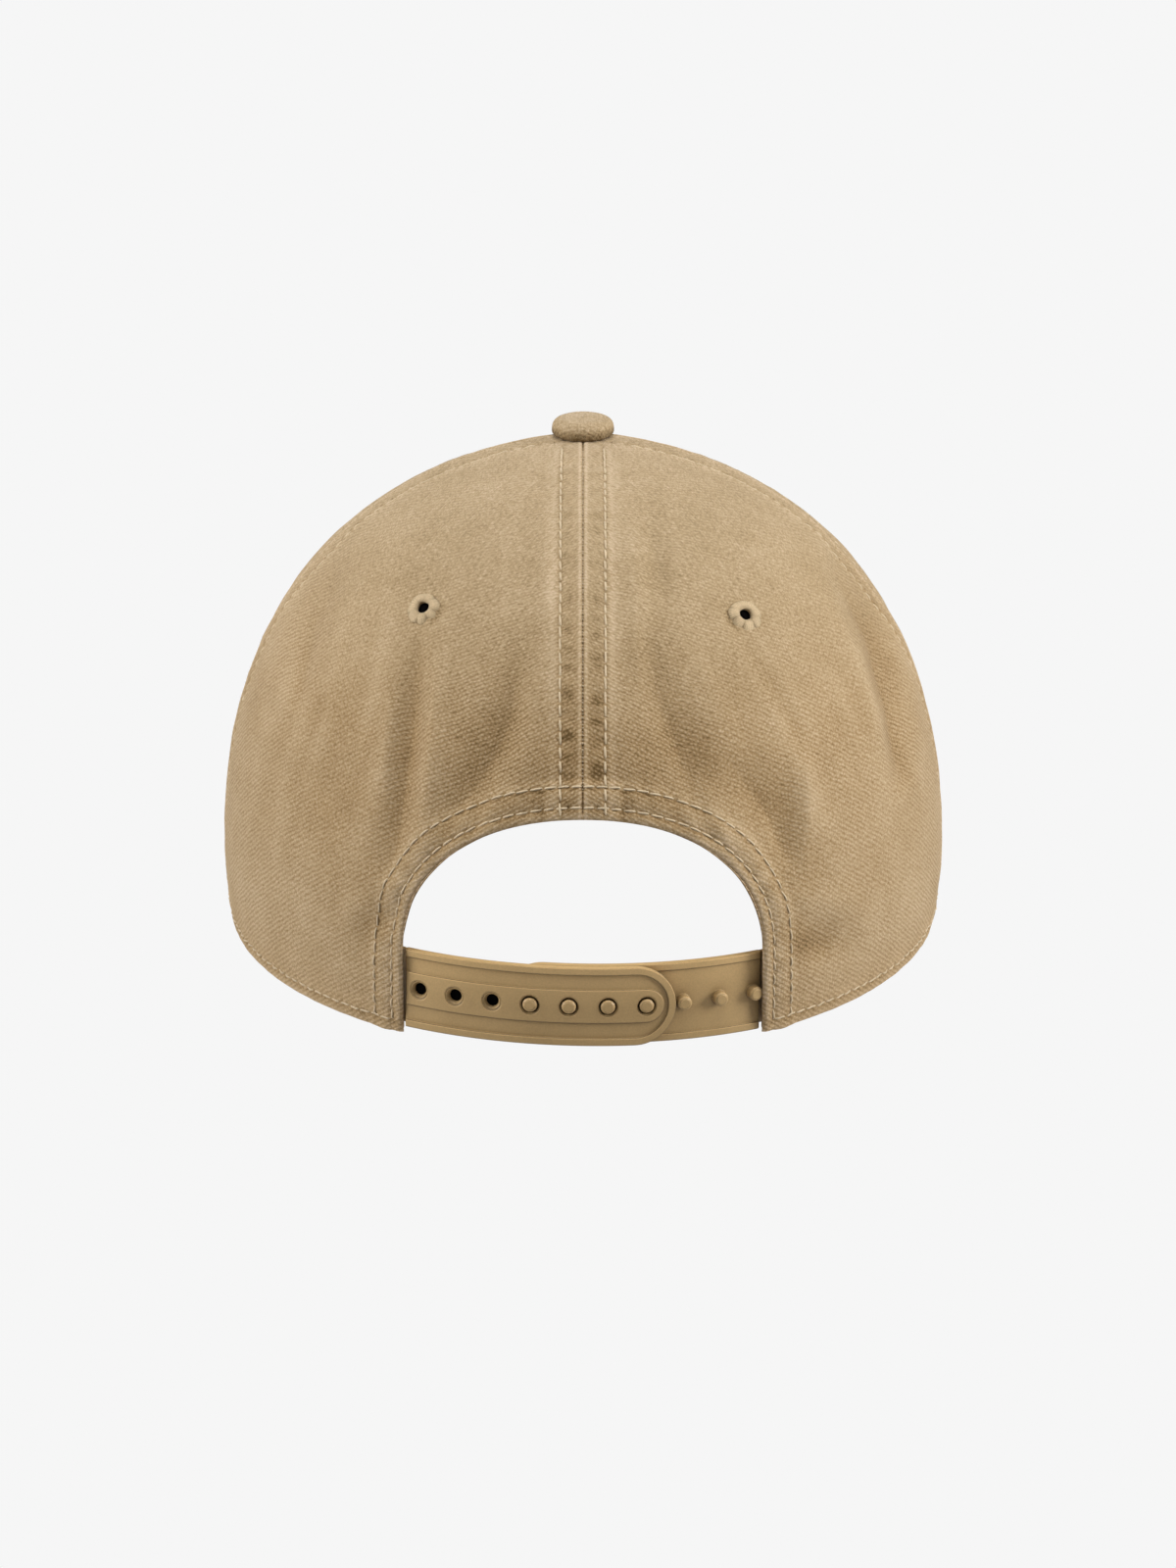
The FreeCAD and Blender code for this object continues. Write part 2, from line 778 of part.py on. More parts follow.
def make_tab(name, side, depth):
    """Sewn end of a strap, lying behind the opening's facing."""
    middle = (SIZE["hole_strap_face"] - SIZE["hole_strap_inner"]) / 2.0
    start = SIZE["strap_root_x"] + middle + SIZE["tab_gap"] + 0.54 * (depth + SIZE["tab_thick"] / 2.0)
    first, last = angle_at_x(start), angle_at_x(start + SIZE["tab_length"])
    lift = side * SIZE["strap_root_x"] * sin(radians(SIZE["strap_tilt"]))
    middle_z = SIZE["strap_centre_z"] + lift
    low, high = middle_z - SIZE["strap_half_width"], middle_z + SIZE["strap_half_width"]
    angles = [side * angle for angle in spread(first, last, 5)]

    def wall(below):
        heights = spread(low, high, 4)
        return [[crown_layer(a, climb_at_height(a, z), below) for a in angles] for z in heights]

    return feature(name, solid_between(wall(depth), wall(depth + SIZE["tab_thick"])))


# Visor


def visor_surface(across, out):
    """Middle surface of the visor: across runs -1 to 1 round it, out runs 0 at the crown to 1 at its edge."""
    from_front = across * SIZE["visor_half_angle"]
    inner = crown_surface(180.0 - from_front, -1.0)
    clear = 1.0 - SIZE["visor_tuck"] / SIZE["crown_half_width"]
    turn = radians(90.0 * across)
    power = 2.0 / SIZE["visor_squareness"]
    side = 1.0 if across >= 0 else -1.0
    rim_x = side * SIZE["visor_half_width"] * abs(sin(turn)) ** power
    rim_y = -SIZE["visor_side_y"] - SIZE["visor_reach"] * abs(cos(turn)) ** power
    start = vector(inner.x * clear, inner.y * clear, 0)
    reach = vector(rim_x, rim_y, 0) - start
    place = start + reach * out
    travel = reach.Length * out
    sag = SIZE["visor_camber"] * (place.x / SIZE["visor_half_width"]) ** 2 * min(travel / 60.0, 1.2)
    half = SIZE["visor_board_thick"] / 2.0 + SIZE["visor_cloth"] + 1.5 * SIZE["layer_gap"]
    place.z = inner.z - half - SIZE["visor_slope"] * travel - sag
    return place


def visor_normal(across, out):
    """Upward unit normal of the visor's middle surface."""
    step = 0.002
    sideways = visor_surface(across + step, out) - visor_surface(across - step, out)
    outward = visor_surface(across, out + step) - visor_surface(across, out - step)
    normal = sideways.cross(outward).normalize()
    return normal if normal.z > 0 else normal * -1


def visor_layer(name, low, high, inset):
    """One layer of the visor between two heights above its middle surface."""
    reach = [inset + (1.0 - 2.0 * inset) * share for share in spread(0.0, 1.0, 9)]
    limit = 1.0 - inset

    def wall(height):
        rows = []
        for out in reach:
            row = []
            for across in spread(-limit, limit, 33):
                row.append(visor_surface(across, out) + visor_normal(across, out) * height)
            rows.append(row)
        return rows

    return feature(name, solid_between(wall(high), wall(low)))


def make_visor():
    half = SIZE["visor_board_thick"] / 2.0
    cover_low = half + SIZE["layer_gap"] / 2.0
    cover_high = cover_low + SIZE["visor_cloth"]
    inset = 0.004
    return [
        visor_layer("visor_board", -half, half, SIZE["visor_board_inset"]),
        visor_layer("visor_top_cover", cover_low, cover_high, inset),
        visor_layer("visor_bottom_cover", -cover_high, -cover_low, inset),
    ]


# Checks and export


def check_document():
    """Stop if any object failed to compute."""
    doc.recompute()
    for item in doc.Objects:
        bad = {"Invalid", "Error"} & set(item.State)
        if bad:
            raise RuntimeError(f"{item.Name} failed to compute: {item.State}")


def export(parts):
    """Write each sub-part to its own file, after checking that it is sound."""
    for part in parts:
        shape = part.Shape
        if shape.isNull() or not shape.isValid() or not shape.Solids or shape.Volume <= 0:
            raise RuntimeError(f"{part.Label} has no sound solid")
    os.makedirs("parts", exist_ok=True)
    for part in parts:
        part.Shape.exportStep(f"parts/{part.Label}.step")


def main():
    parts = make_panels() + [make_buckram()] + make_tapes() + [make_facing(), make_sweatband()]
    parts += make_visor() + make_button() + make_eyelets()
    parts += [make_hole_strap(), make_stud_strap()]
    parts.append(make_tab("strap_left_tab", 1, SIZE["tab_depth_left"]))
    parts.append(make_tab("strap_right_tab", -1, SIZE["tab_depth_right"]))
    check_document()
    export(parts)


main()
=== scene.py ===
"""Looks of the baseball cap: cloth panels with real seams, folds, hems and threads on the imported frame.

Lengths in this script are millimetres until a mesh is made. The crown is described by an angle from
the centre back, in degrees, and a climb: -1 at the lower edge, 0 on top of the band, 1 at the apex.
"""

import math

import bpy
import numpy as np
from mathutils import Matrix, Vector


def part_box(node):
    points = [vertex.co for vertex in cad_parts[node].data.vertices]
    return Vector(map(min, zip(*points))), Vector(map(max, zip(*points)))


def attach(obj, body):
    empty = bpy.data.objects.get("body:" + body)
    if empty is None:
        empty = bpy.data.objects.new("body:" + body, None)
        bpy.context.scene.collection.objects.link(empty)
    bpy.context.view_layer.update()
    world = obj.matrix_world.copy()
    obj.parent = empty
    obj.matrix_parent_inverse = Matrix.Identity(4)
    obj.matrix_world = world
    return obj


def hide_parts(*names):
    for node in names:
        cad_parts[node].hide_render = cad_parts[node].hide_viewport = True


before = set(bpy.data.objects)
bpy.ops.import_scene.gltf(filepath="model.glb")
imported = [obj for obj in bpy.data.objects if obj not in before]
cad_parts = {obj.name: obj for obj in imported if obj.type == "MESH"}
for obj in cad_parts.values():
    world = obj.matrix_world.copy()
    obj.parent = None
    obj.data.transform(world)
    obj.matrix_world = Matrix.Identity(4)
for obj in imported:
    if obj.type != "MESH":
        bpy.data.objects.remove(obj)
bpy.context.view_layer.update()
MM = 0.001


# Sizes, from the frame where it holds them


def span(node):
    """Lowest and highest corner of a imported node, in millimetres."""
    low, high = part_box(node)
    return np.array(low) / MM, np.array(high) / MM


HALF_WIDTH = span("side_panel_left")[1][0]
HALF_LENGTH = -span("front_panel")[0][1]
CROWN_TOP = 121.3
BAND_TOP = 15.5
BAND_FLARE = 0.018
BACK_DOME = (2.185, 0.048, 1.66)
FRONT_DOME = (2.35, 0.44, 0.9)
FRONT_TURN = 43.5
FRONT_RISE = 12.0
CLOTH = 1.0
APEX_CLIMB = math.degrees(math.acos(0.03)) / 90.0
SIDE_SEAM, FRONT_SEAM = 89.0, 134.0
VISOR_HALF_ANGLE = 62.0
ARCH_HALF, ARCH_STRAIGHT, ARCH_TOP, ARCH_POWER = 42.6, 21.5, 56.3, 2.12
SEAM_ROW = 5.3
ARCH_ROWS = (2.8, 7.7)
HEM_ROW = 3.3
STITCH_PITCH = 3.4
VALLEY_PITCH = 1.9
ROW_LIFT = 0.20
FAR_AWAY = 60.0
CENTRE_ZONE = 12.0
OVERLAP_END = 8.0
EYELETS = {
    "eyelet_back_left": (38.0, 0.520),
    "eyelet_back_right": (-38.0, 0.508),
    "eyelet_side_left": (112.0, 0.515),
    "eyelet_side_right": (-112.0, 0.515),
}


# Crown surface


def mix(first, second, share):
    return first + (second - first) * share


def smooth(value, low, high):
    """0 below low, 1 above high, with a soft step between."""
    share = np.clip((value - low) / (high - low), 0.0, 1.0)
    return share * share * (3.0 - 2.0 * share)


def fall(value, low, high):
    """1 below low, 0 above high, with a soft step between."""
    return 1.0 - smooth(value, low, high)


def bell(value, centre, width):
    """1 at a centre, falling away smoothly on both sides."""
    return np.exp(-(((value - centre) / width) ** 2))


def edge_height(angle):
    """Height of the lower edge, which rises over the visor."""
    from_front = np.abs(180.0 - np.mod(angle, 360.0))
    return FRONT_RISE * np.maximum(0.0, 1.0 - (from_front / VISOR_HALF_ANGLE) ** 2) ** 1.5


def crown(angle, climb):
    """Points of the crown's outer surface."""
    angle, climb = np.broadcast_arrays(np.asarray(angle, float), np.asarray(climb, float))
    turn = np.radians(angle)
    front = smooth(np.abs(np.mod(angle + 180.0, 360.0) - 180.0), SIDE_SEAM, SIDE_SEAM + FRONT_TURN)
    roundness, flattening, falloff = (mix(b, f, front) for b, f in zip(BACK_DOME, FRONT_DOME))
    steep = np.radians(90.0 * np.clip(climb, 0.0, 1.0))
    dome = np.cos(steep)
    share = np.where(climb > 0.0, dome, 1.0 - BAND_FLARE * np.minimum(climb, 0.0) ** 2)
    lift = np.sin(steep) ** (2.0 / roundness) - flattening * dome * (1.0 - dome) ** falloff
    above = BAND_TOP + (CROWN_TOP - BAND_TOP) * lift
    below = mix(BAND_TOP, edge_height(angle), -climb)
    height = np.where(climb > 0.0, above, below)
    return np.stack([HALF_WIDTH * share * np.sin(turn), HALF_LENGTH * share * np.cos(turn), height], -1)


def unit(vectors):
    return vectors / np.linalg.norm(vectors, axis=-1, keepdims=True)


def crown_normal(angle, climb):
    across = crown(angle + 0.05, climb) - crown(angle - 0.05, climb)
    up = crown(angle, climb + 0.0005) - crown(angle, climb - 0.0005)
    return unit(np.cross(up, across))


def raised(base, normal, height):
    """Points moved out along their normals."""
    return base + normal * np.asarray(height)[..., None]


def share_at(climb):
    """Width of the crown at a climb, as a share of its full width."""
    return np.where(climb > 0.0, np.cos(np.radians(90.0 * np.clip(climb, 0.0, 1.0))), 1.0)


def girth(angle):
    """Millimetres per radian round the crown at its full width."""
    turn = np.radians(angle)
    return np.hypot(HALF_WIDTH * np.cos(turn), HALF_LENGTH * np.sin(turn))


def round_distance(angle, seam, climb):
    """Distance round the crown from a seam, positive towards larger angles."""
    return np.radians(angle - seam) * girth((angle + seam) / 2.0) * share_at(climb)


def angle_beside(seam, distance, climb):
    """Angle that lies a distance round the crown from a seam."""
    return seam + np.degrees(distance / (girth(seam) * share_at(climb)))


CLIMB_STEPS = np.linspace(-1.0, 1.0, 401)


def circle(count):
    """Evenly spaced angles round a full turn."""
    return np.linspace(0.0, 2.0 * math.pi, count, endpoint=False)


def path_lengths(path):
    """Length along a path at each of its points."""
    return np.concatenate([[0.0], np.cumsum(np.linalg.norm(np.diff(path, axis=0), axis=1))])


def rise_length(angle, climb):
    """Length up the crown from its lower edge, along one angle."""
    return np.interp(climb, CLIMB_STEPS, path_lengths(crown(angle, CLIMB_STEPS)))


def climb_at_length(angle, length):
    """Climb at a length up the crown from its lower edge."""
    return np.interp(length, path_lengths(crown(angle, CLIMB_STEPS)), CLIMB_STEPS)


def climb_at_height(angle, height, halvings=30):
    """Climb at which the crown reaches a height at each angle."""
    angle, height = np.broadcast_arrays(np.asarray(angle, float), np.asarray(height, float))
    low, high = np.full(angle.shape, -1.0), np.ones(angle.shape)
    for _ in range(halvings):
        middle = (low + high) / 2.0
        below = crown(angle, middle)[..., 2] < height
        low, high = np.where(below, middle, low), np.where(below, high, middle)
    return (low + high) / 2.0


def locate(x, z):
    """Angle and climb of the back surface at a sideways place and a height."""
    x, z = np.asarray(x, float), np.asarray(z, float)
    angle = np.zeros_like(z)
    for _ in range(12):
        climb = climb_at_height(angle, z, 26)
        place = crown(angle, climb)
        share = np.hypot(place[..., 0] / HALF_WIDTH, place[..., 1] / HALF_LENGTH)
        angle = np.degrees(np.arcsin(np.clip(x / (HALF_WIDTH * share), -1.0, 1.0)))
    return angle, climb


# The arch of the back opening


def arch_outline(count):
    """Sideways places and heights from the arch's top down its left side to the lower edge."""
    turn = np.linspace(math.pi / 2.0, 0.0, count)
    power = 2.0 / ARCH_POWER
    x = ARCH_HALF * np.cos(turn).clip(0.0) ** power
    z = ARCH_STRAIGHT + (ARCH_TOP - ARCH_STRAIGHT) * np.sin(turn) ** power
    down = np.linspace(ARCH_STRAIGHT, 0.0, count // 4)[1:]
    return np.concatenate([x, np.full_like(down, ARCH_HALF)]), np.concatenate([z, down])


ARCH_X, ARCH_Z = arch_outline(400)
ARCH_ANGLE, ARCH_CLIMB = locate(ARCH_X, ARCH_Z)
ARCH_PATH = crown(ARCH_ANGLE, ARCH_CLIMB)
ARCH_LENGTHS = path_lengths(ARCH_PATH)


def arch_outward():
    """Unit vectors along the cloth, away from the arch's edge, on the left side."""
    normal = crown_normal(ARCH_ANGLE, ARCH_CLIMB)
    along = unit(np.gradient(ARCH_PATH, axis=0))
    away = np.cross(along, normal)
    return away * np.sign(away[:1, 2:3])


def arch_distance(points):
    """Distance of points on the left or right back from the arch's edge, and the length along it."""
    flat = points.reshape(-1, 3).copy()
    flat[:, 0] = np.abs(flat[:, 0])
    away = np.full(len(flat), FAR_AWAY)
    along = np.zeros(len(flat))
    close = (flat[:, 2] < ARCH_TOP + 30.0) & (flat[:, 0] < ARCH_HALF + 30.0) & (flat[:, 1] > 0)
    near = np.where(close)[0]
    for part in np.array_split(near, max(1, len(near) // 2000)):
        gaps = np.linalg.norm(flat[part, None, :] - ARCH_PATH[None, ::2, :], axis=2)
        best = gaps.argmin(axis=1)
        away[part] = gaps[np.arange(len(part)), best]
        along[part] = ARCH_LENGTHS[::2][best]
    return away.reshape(points.shape[:-1]), along.reshape(points.shape[:-1])


# Folds and small unevenness of the cloth

WAVES = np.random.RandomState(7)


def wave_set(count):
    """Directions, phases and paces of a set of waves."""
    directions = unit(WAVES.normal(size=(count, 3)))
    return directions, WAVES.uniform(0.0, 2.0 * math.pi, count), WAVES.uniform(0.7, 1.4, count)


BROAD_WAVES, MIDDLE_WAVES, FINE_WAVES = wave_set(9), wave_set(12), wave_set(14)


def ripple(points, waves, length):
    """Soft random unevenness between about -1 and 1, with one typical wavelength."""
    total = 0.0
    for direction, phase, pace in zip(*waves):
        total = total + np.sin(points @ direction * (2.0 * math.pi * pace / length) + phase)
    return total / math.sqrt(len(waves[0]))


# Each fold: points (sideways, height) it runs through, half width, depth (negative stands proud).
FOLDS = (
    (((39, 89), (40, 75), (42, 62), (43, 53), (45, 42)), 3.0, 1.95),
    (((34, 87), (36, 60)), 2.6, -0.90),
    (((45.5, 82), (46, 54)), 2.6, -0.75),
    (((15, 90), (17, 78), (21, 69), (27, 60), (31, 55)), 4.6, 1.80),
    (((11, 86), (13, 68)), 2.4, -0.60),
    (((-15, 90), (-20, 76), (-24, 67), (-28, 60)), 5.0, 1.70),
    (((-35, 66), (-45, 52), (-49, 40)), 4.4, 1.90),
    (((-52.5, 63), (-52.5, 40)), 2.6, -1.00),
    (((-51, 22), (-60, 17)), 4.6, 2.60),
    (((-61, 93), (-70, 79), (-75, 64), (-77, 49)), 2.6, 2.60),
    (((-59, 90), (-66, 75), (-71, 60)), 3.2, -0.80),
    (((59, 94), (66, 82), (69, 70)), 3.0, 1.30),
    (((59, 63), (61, 42)), 6.0, 1.00),
    (((-11.5, 112), (-13, 84)), 2.2, -0.70),
    (((-15, 114), (-20, 98)), 2.6, 0.85),
    (((8.5, 114), (8.5, 96)), 2.0, -0.60),
    (((45, 30), (52, 18)), 3.2, 2.40),
)


def fold_depth(points):
    """Depth of the folds at points of the crown; only its back has any."""
    x, z, back = points[..., 0], points[..., 2], smooth(points[..., 1], -12.0, 8.0)
    depth = np.zeros(points.shape[:-1])
    for path, width, deep in FOLDS:
        nearest, along = np.full(points.shape[:-1], 1e9), 0.0
        for i, ((x0, z0), (x1, z1)) in enumerate(zip(path, path[1:])):
            dx, dz = x1 - x0, z1 - z0
            share = np.clip(((x - x0) * dx + (z - z0) * dz) / (dx * dx + dz * dz), 0.0, 1.0)
            away = np.hypot(x - x0 - share * dx, z - z0 - share * dz)
            along = np.where(away < nearest, (i + share) / (len(path) - 1), along)
            nearest = np.minimum(nearest, away)
        fade = 0.35 + 0.65 * np.maximum(np.sin(math.pi * along), 0.0) ** 0.6
        crease = np.exp(-((nearest / (1.15 * width)) ** 1.4))
        depth = depth + deep * fade * (crease - 0.28 * bell(nearest, 1.9 * width, width))
    return depth * back


def creases(points):
    """Fine upright creases in the washed back panels, fanning out from the arch, about -1 to 1."""
    x, z = points[..., 0], points[..., 2]
    lean = np.where(x > 0.0, 0.20, 0.48)
    across = np.abs(x) + lean * (z - 60.0) + 1.6 * np.sin(z * 0.085 + np.sign(x))
    total = 0.0
    for i, (length, phase) in enumerate(((5.3, 0.4), (7.1, 2.9), (9.4, 1.2), (13.7, 4.4), (18.9, 0.9))):
        wander = 0.8 * np.sin(z / (8.0 + 3.0 * i) + 2.0 * phase)
        strength = 0.5 + 0.5 * np.sin(z / (10.0 + 2.0 * i) + 3.0 * phase + across * 0.09)
        total = total + strength * np.sin(2.0 * math.pi * across / length + phase + np.sign(x) + wander)
    zone = bell(z, 60.0, 32.0) * smooth(np.abs(x), 6.5, 15.0) * fall(np.abs(x), 66.0, 84.0)
    return total * zone * smooth(points[..., 1], 0.0, 20.0)


def calm(points):
    """0 where the cloth is held still by the strap, the button or the visor, 1 elsewhere."""
    x, y, z = np.moveaxis(points, -1, 0)
    strap = 1.0 - bell(np.abs(x), 46.0, 11.0) * smooth(y, 60, 80) * fall(z, 20.0, 32.0)
    top = fall(z, 104.0, 118.0)
    return strap * top * (0.35 + 0.65 * smooth(z, 2.0, 14.0))


def eyelet_distance(points):
    """Distance from the middle of the nearest eyelet."""
    centres = [crown(angle, climb) for angle, climb in EYELETS.values()]
    return np.min([np.linalg.norm(points - centre, axis=-1) for centre in centres], axis=0)


def eyelet_pucker(points):
    """1 in the small hollow that hugs the lower inner side of each back eyelet, 0 elsewhere."""
    total = 0.0
    for angle, climb in (EYELETS["eyelet_back_left"], EYELETS["eyelet_back_right"]):
        centre = crown(angle, climb)
        inward = -math.copysign(1.0, angle)
        x, z = (points[..., 0] - centre[0]) * inward, points[..., 2] - centre[2]
        away = np.linalg.norm(points - centre, axis=-1)
        toward = np.clip((x * 0.80 - z * 0.60) / np.maximum(away, 1.0), 0.0, 1.0)
        total = total + bell(away, 4.5, 0.8) * smooth(toward, 0.35, 0.9)
    return total


def drape(points):
    """How far the whole crown wall stands out from the plain surface."""
    x, y, z = np.moveaxis(points, -1, 0)
    back = smooth(y, -30.0, 20.0)
    sag = 1.53 * bell(z, ARCH_TOP + 3.0, 17.0) * bell(x, 0.0, 32.0) * back
    uneven = ripple(points, BROAD_WAVES, 95.0) * 0.26 + ripple(points, MIDDLE_WAVES, 30.0) * 0.06
    uneven = uneven * (0.4 + 0.6 * back) + 0.09 * creases(points)
    return calm(points) * (uneven - fold_depth(points)) - sag


# Cloth relief near seams, rows and edges


def pits(along, pitch=STITCH_PITCH):
    """1 at each needle hole of a row, 0 between."""
    return 0.5 + 0.5 * np.cos(2.0 * math.pi * along / pitch)


def sewn_row(away, along, row):
    """Groove pressed by a row of stitches, deepest at its needle holes."""
    line = bell(away, row, 0.55)
    return -line * (0.20 + 0.30 * pits(along) ** 2)


def gather(along):
    """Uneven small waves that a pulled thread leaves along its row, between -1 and 1."""
    return np.sin(along * 0.92 + 1.9 * np.sin(along * 0.23)) * (0.65 + 0.35 * np.sin(along * 0.37 + 1.0))


def seam_relief(away, along, loose):
    """Cross-section of a pressed seam: a dashed valley, a soft shoulder and the topstitched welt."""
    valley = -0.56 * bell(away, 0.0, 0.24) * (0.35 + 0.65 * pits(along, VALLEY_PITCH))
    shoulder = 0.16 * bell(away, 0.85, 0.45) + 0.12 * bell(away, SEAM_ROW + 1.1, 0.6)
    welt = 0.34 * fall(away, SEAM_ROW + 0.2, SEAM_ROW + 1.5)
    pucker = loose * gather(along) * bell(away, SEAM_ROW - 1.2, 2.0)
    return valley + shoulder + welt + pucker + sewn_row(away, along, SEAM_ROW)


def edge_roll(away, radius=0.85):
    """Drop of a folded cloth edge as it turns under."""
    inside = np.clip(radius - away, 0.0, radius)
    return -(radius - np.sqrt(np.maximum(radius**2 - inside**2, 0.0)))


def on_overlap(along):
    """1 along the top of the arch, where its folded edge crosses the centre seam and lies double."""
    return fall(along, OVERLAP_END, OVERLAP_END + 0.9)


def arch_relief(away, along):
    """Welt of the arch's folded edge, with its two rows and the puffed cloth between them."""
    welt = 0.34 * fall(away, ARCH_ROWS[1] + 0.2, ARCH_ROWS[1] + 1.8)
    pucker = 0.18 * gather(along + 40.0) * bell(away, 5.4, 3.0)
    puff = 0.18 * bell(away, 5.3, 1.5) + 0.12 * bell(away, 1.4, 0.8)
    rows = sum(sewn_row(away, along, row) for row in ARCH_ROWS)
    bulk = 0.40 * on_overlap(along) * fall(away, 8.4, 9.2)
    return welt + pucker + puff + rows + bulk


def hem_relief(away, along):
    """Welt of the hem with its row of stitches."""
    welt = 0.26 * fall(away, HEM_ROW + 0.2, HEM_ROW + 1.8)
    pucker = 0.14 * gather(along + 90.0) * bell(away, HEM_ROW, 2.4)
    return welt + pucker + sewn_row(away, along, HEM_ROW)


class Panel:
    """One cloth panel between two seam angles."""

    def __init__(self, name, first, last, arched=False):
        self.name, self.first, self.last, self.arched = name, first, last, arched
        self.middle = (first + last) / 2.0
        self.side = 1.0 if self.middle > 0 else -1.0

    def frame_of(self, angle, climb):
        """Distances that the relief and the material need at each point."""
        base = crown(angle, climb)
        up = rise_length(self.middle, climb)
        found = {"base": base, "up": up}
        found["first"] = np.abs(round_distance(angle, self.first, climb))
        found["last"] = np.abs(round_distance(angle, self.last, climb))
        found["hem"] = np.maximum(base[..., 2] - edge_height(angle), 0.0)
        found["round"] = np.radians(angle) * girth(self.middle)
        found["arch"], found["arch_along"] = np.full(up.shape, FAR_AWAY), up * 0.0
        if self.arched:
            found["arch"], found["arch_along"] = arch_distance(base)
        return found

    def relief(self, found):
        """Height of the outer face above the plain surface."""
        base, arch = found["base"], found["arch"]
        near_arch = fall(arch, 1.0, 2.2)
        seam_near = np.minimum(found["first"], found["last"])
        loose = 0.06 + 0.18 * (np.abs(base[..., 0]) < CENTRE_ZONE)
        height = seam_relief(seam_near, found["up"], loose) * (1.0 - 0.55 * near_arch)
        if self.arched:
            height += arch_relief(arch, found["arch_along"])
        if self.name != "front_panel":
            height += hem_relief(found["hem"], found["round"]) * smooth(arch, 2.0, 3.4)
        height += 0.05 * ripple(base, FINE_WAVES, 9.0) - 0.2
        around_eyelet = eyelet_distance(base)
        height -= 2.2 * fall(around_eyelet, 1.8, 3.0) + 0.10 * bell(around_eyelet, 5.2, 1.4)
        height -= 0.45 * eyelet_pucker(base)
        return height + edge_roll(np.minimum(arch, found["hem"]))

    def tone(self, found):
        """Below 0 where the cloth is darker, above 0 where it is paler: painted shade in folds, seam
        valleys, needle pits, under rows and round the eyelets, with darker blotches beside the seams; worn
        pale edges, and ridges made paler by wear together with a painted highlight.
        """
        base, arch, along, hem = found["base"], found["arch"], found["up"], found["hem"]
        x, y, z = np.moveaxis(base, -1, 0)
        back = y > 0.0
        seam_near = np.minimum(found["first"], found["last"])
        # Painted shade in fold valleys and crease hollows; proud folds and crease ridges paler, from wear
        # together with a painted highlight.
        tone = -0.38 * fold_depth(base) * calm(base) + 0.12 * creases(base)
        # Painted shade down the seam valley and in the needle pits of its row; the raised shoulders beside
        # it are paler, from wear together with a painted highlight.
        tone -= (0.2 + 0.9 * pits(along, VALLEY_PITCH)) * bell(seam_near, 0.0, 0.24)
        tone += 1.5 * bell(seam_near, 0.75, 0.38) + 0.6 * bell(seam_near, SEAM_ROW + 1.5, 0.8)
        tone -= 0.7 * pits(along) ** 3 * bell(seam_near, SEAM_ROW, 0.7)
        blotch = np.clip(gather(along * 1.06 + 3.0 + 4.3 * self.side) + 0.25, 0.0, 1.2)
        central = (np.abs(x) < CENTRE_ZONE) * back
        deep = 0.5 + central * (0.3 + 1.1 * bell(z, 76.0, 13.0) - 0.2 * smooth(z, 96.0, 108.0))
        tone -= deep * blotch * bell(seam_near, SEAM_ROW - 1.9, 1.5)
        between = fall(seam_near, SEAM_ROW - 0.6, SEAM_ROW)
        tone -= 0.35 * central * bell(z, 76.0, 16.0) * between
        tone += 0.55 * central * bell(z, 96.0, 26.0) * bell(seam_near, SEAM_ROW + 2.4, 1.5)
        tone += 0.9 * bell(np.minimum(arch, hem), 0.2, 1.1)
        if self.arched:
            tone += self.arch_tone(arch, found["arch_along"])
        # Painted shadow along the lower side of the hem row, darkest at its needle pits.
        tone -= (0.8 + 0.5 * pits(found["round"]) ** 2) * bell(hem, HEM_ROW - 0.5, 0.45)
        # Painted shade: the cloth in each eyelet's hole near-black, and a dark crescent in the hollow beside
        # each back eyelet.
        tone -= 8.0 * fall(eyelet_distance(base), 1.9, 2.6) + 3.0 * eyelet_pucker(base)
        # Painted shade over the sagging, downward-facing cloth above the arch.
        tone -= 0.58 * bell(z, 68.0, 21.0) * bell(x, 4.0, 38.0) * back
        tone += 0.40 * fall(z, 14.0, 48.0) * smooth(np.abs(x), 48.0, 66.0)
        # Painted shade in the crease beside the strap.
        strap_crease_shade = bell(x, -52.0, 5.5) * bell(z - 0.35 * (x + 52.0), 20.5, 3.6)
        tone -= 1.5 * strap_crease_shade * back * smooth(arch, 7.0, 9.0)
        return tone + 0.10 * ripple(base, MIDDLE_WAVES, 22.0)

    def arch_tone(self, away, along):
        """The part of the tone that follows the arch, its two rows and the doubled cloth at its top, with
        painted shadow along the rows and where the doubled cloth ends.
        """
        tone = -0.7 * np.clip(gather(along + 40.0), 0.0, 1.0) * bell(away, 5.0, 1.5)
        # Painted shadow on the arch's side of each row, darkest at its needle pits; a paler strip beyond it.
        for row in ARCH_ROWS:
            tone -= (0.9 + 0.6 * pits(along) ** 2) * bell(away, row - 0.55, 0.42)
            tone += 0.45 * bell(away, row + 1.2, 0.7)
        tone += 0.4 * on_overlap(along) * fall(away, 8.0, 9.0)
        tone += 0.30 * smooth(along, 22.0, 40.0) * fall(away, 6.5, 8.5)
        # Painted shadow where the doubled cloth at the arch's top ends.
        return tone - 0.9 * bell(along, OVERLAP_END + 1.3, 0.55) * fall(away, 7.5, 9.0)

    def row_path(self, angle, climb):
        """Points just above the finished outer face, and the direction out of it."""
        found = self.frame_of(angle, climb)
        height = drape(found["base"]) + self.relief(found) + ROW_LIFT
        normal = crown_normal(angle, climb)
        return raised(found["base"], normal, height), normal

    def weave(self, angle, climb):
        """Flat pattern place of each point, in millimetres along and across the grain."""
        across = self.side * round_distance(angle, self.middle, climb)
        return np.stack([across, rise_length(self.middle, climb)], -1)


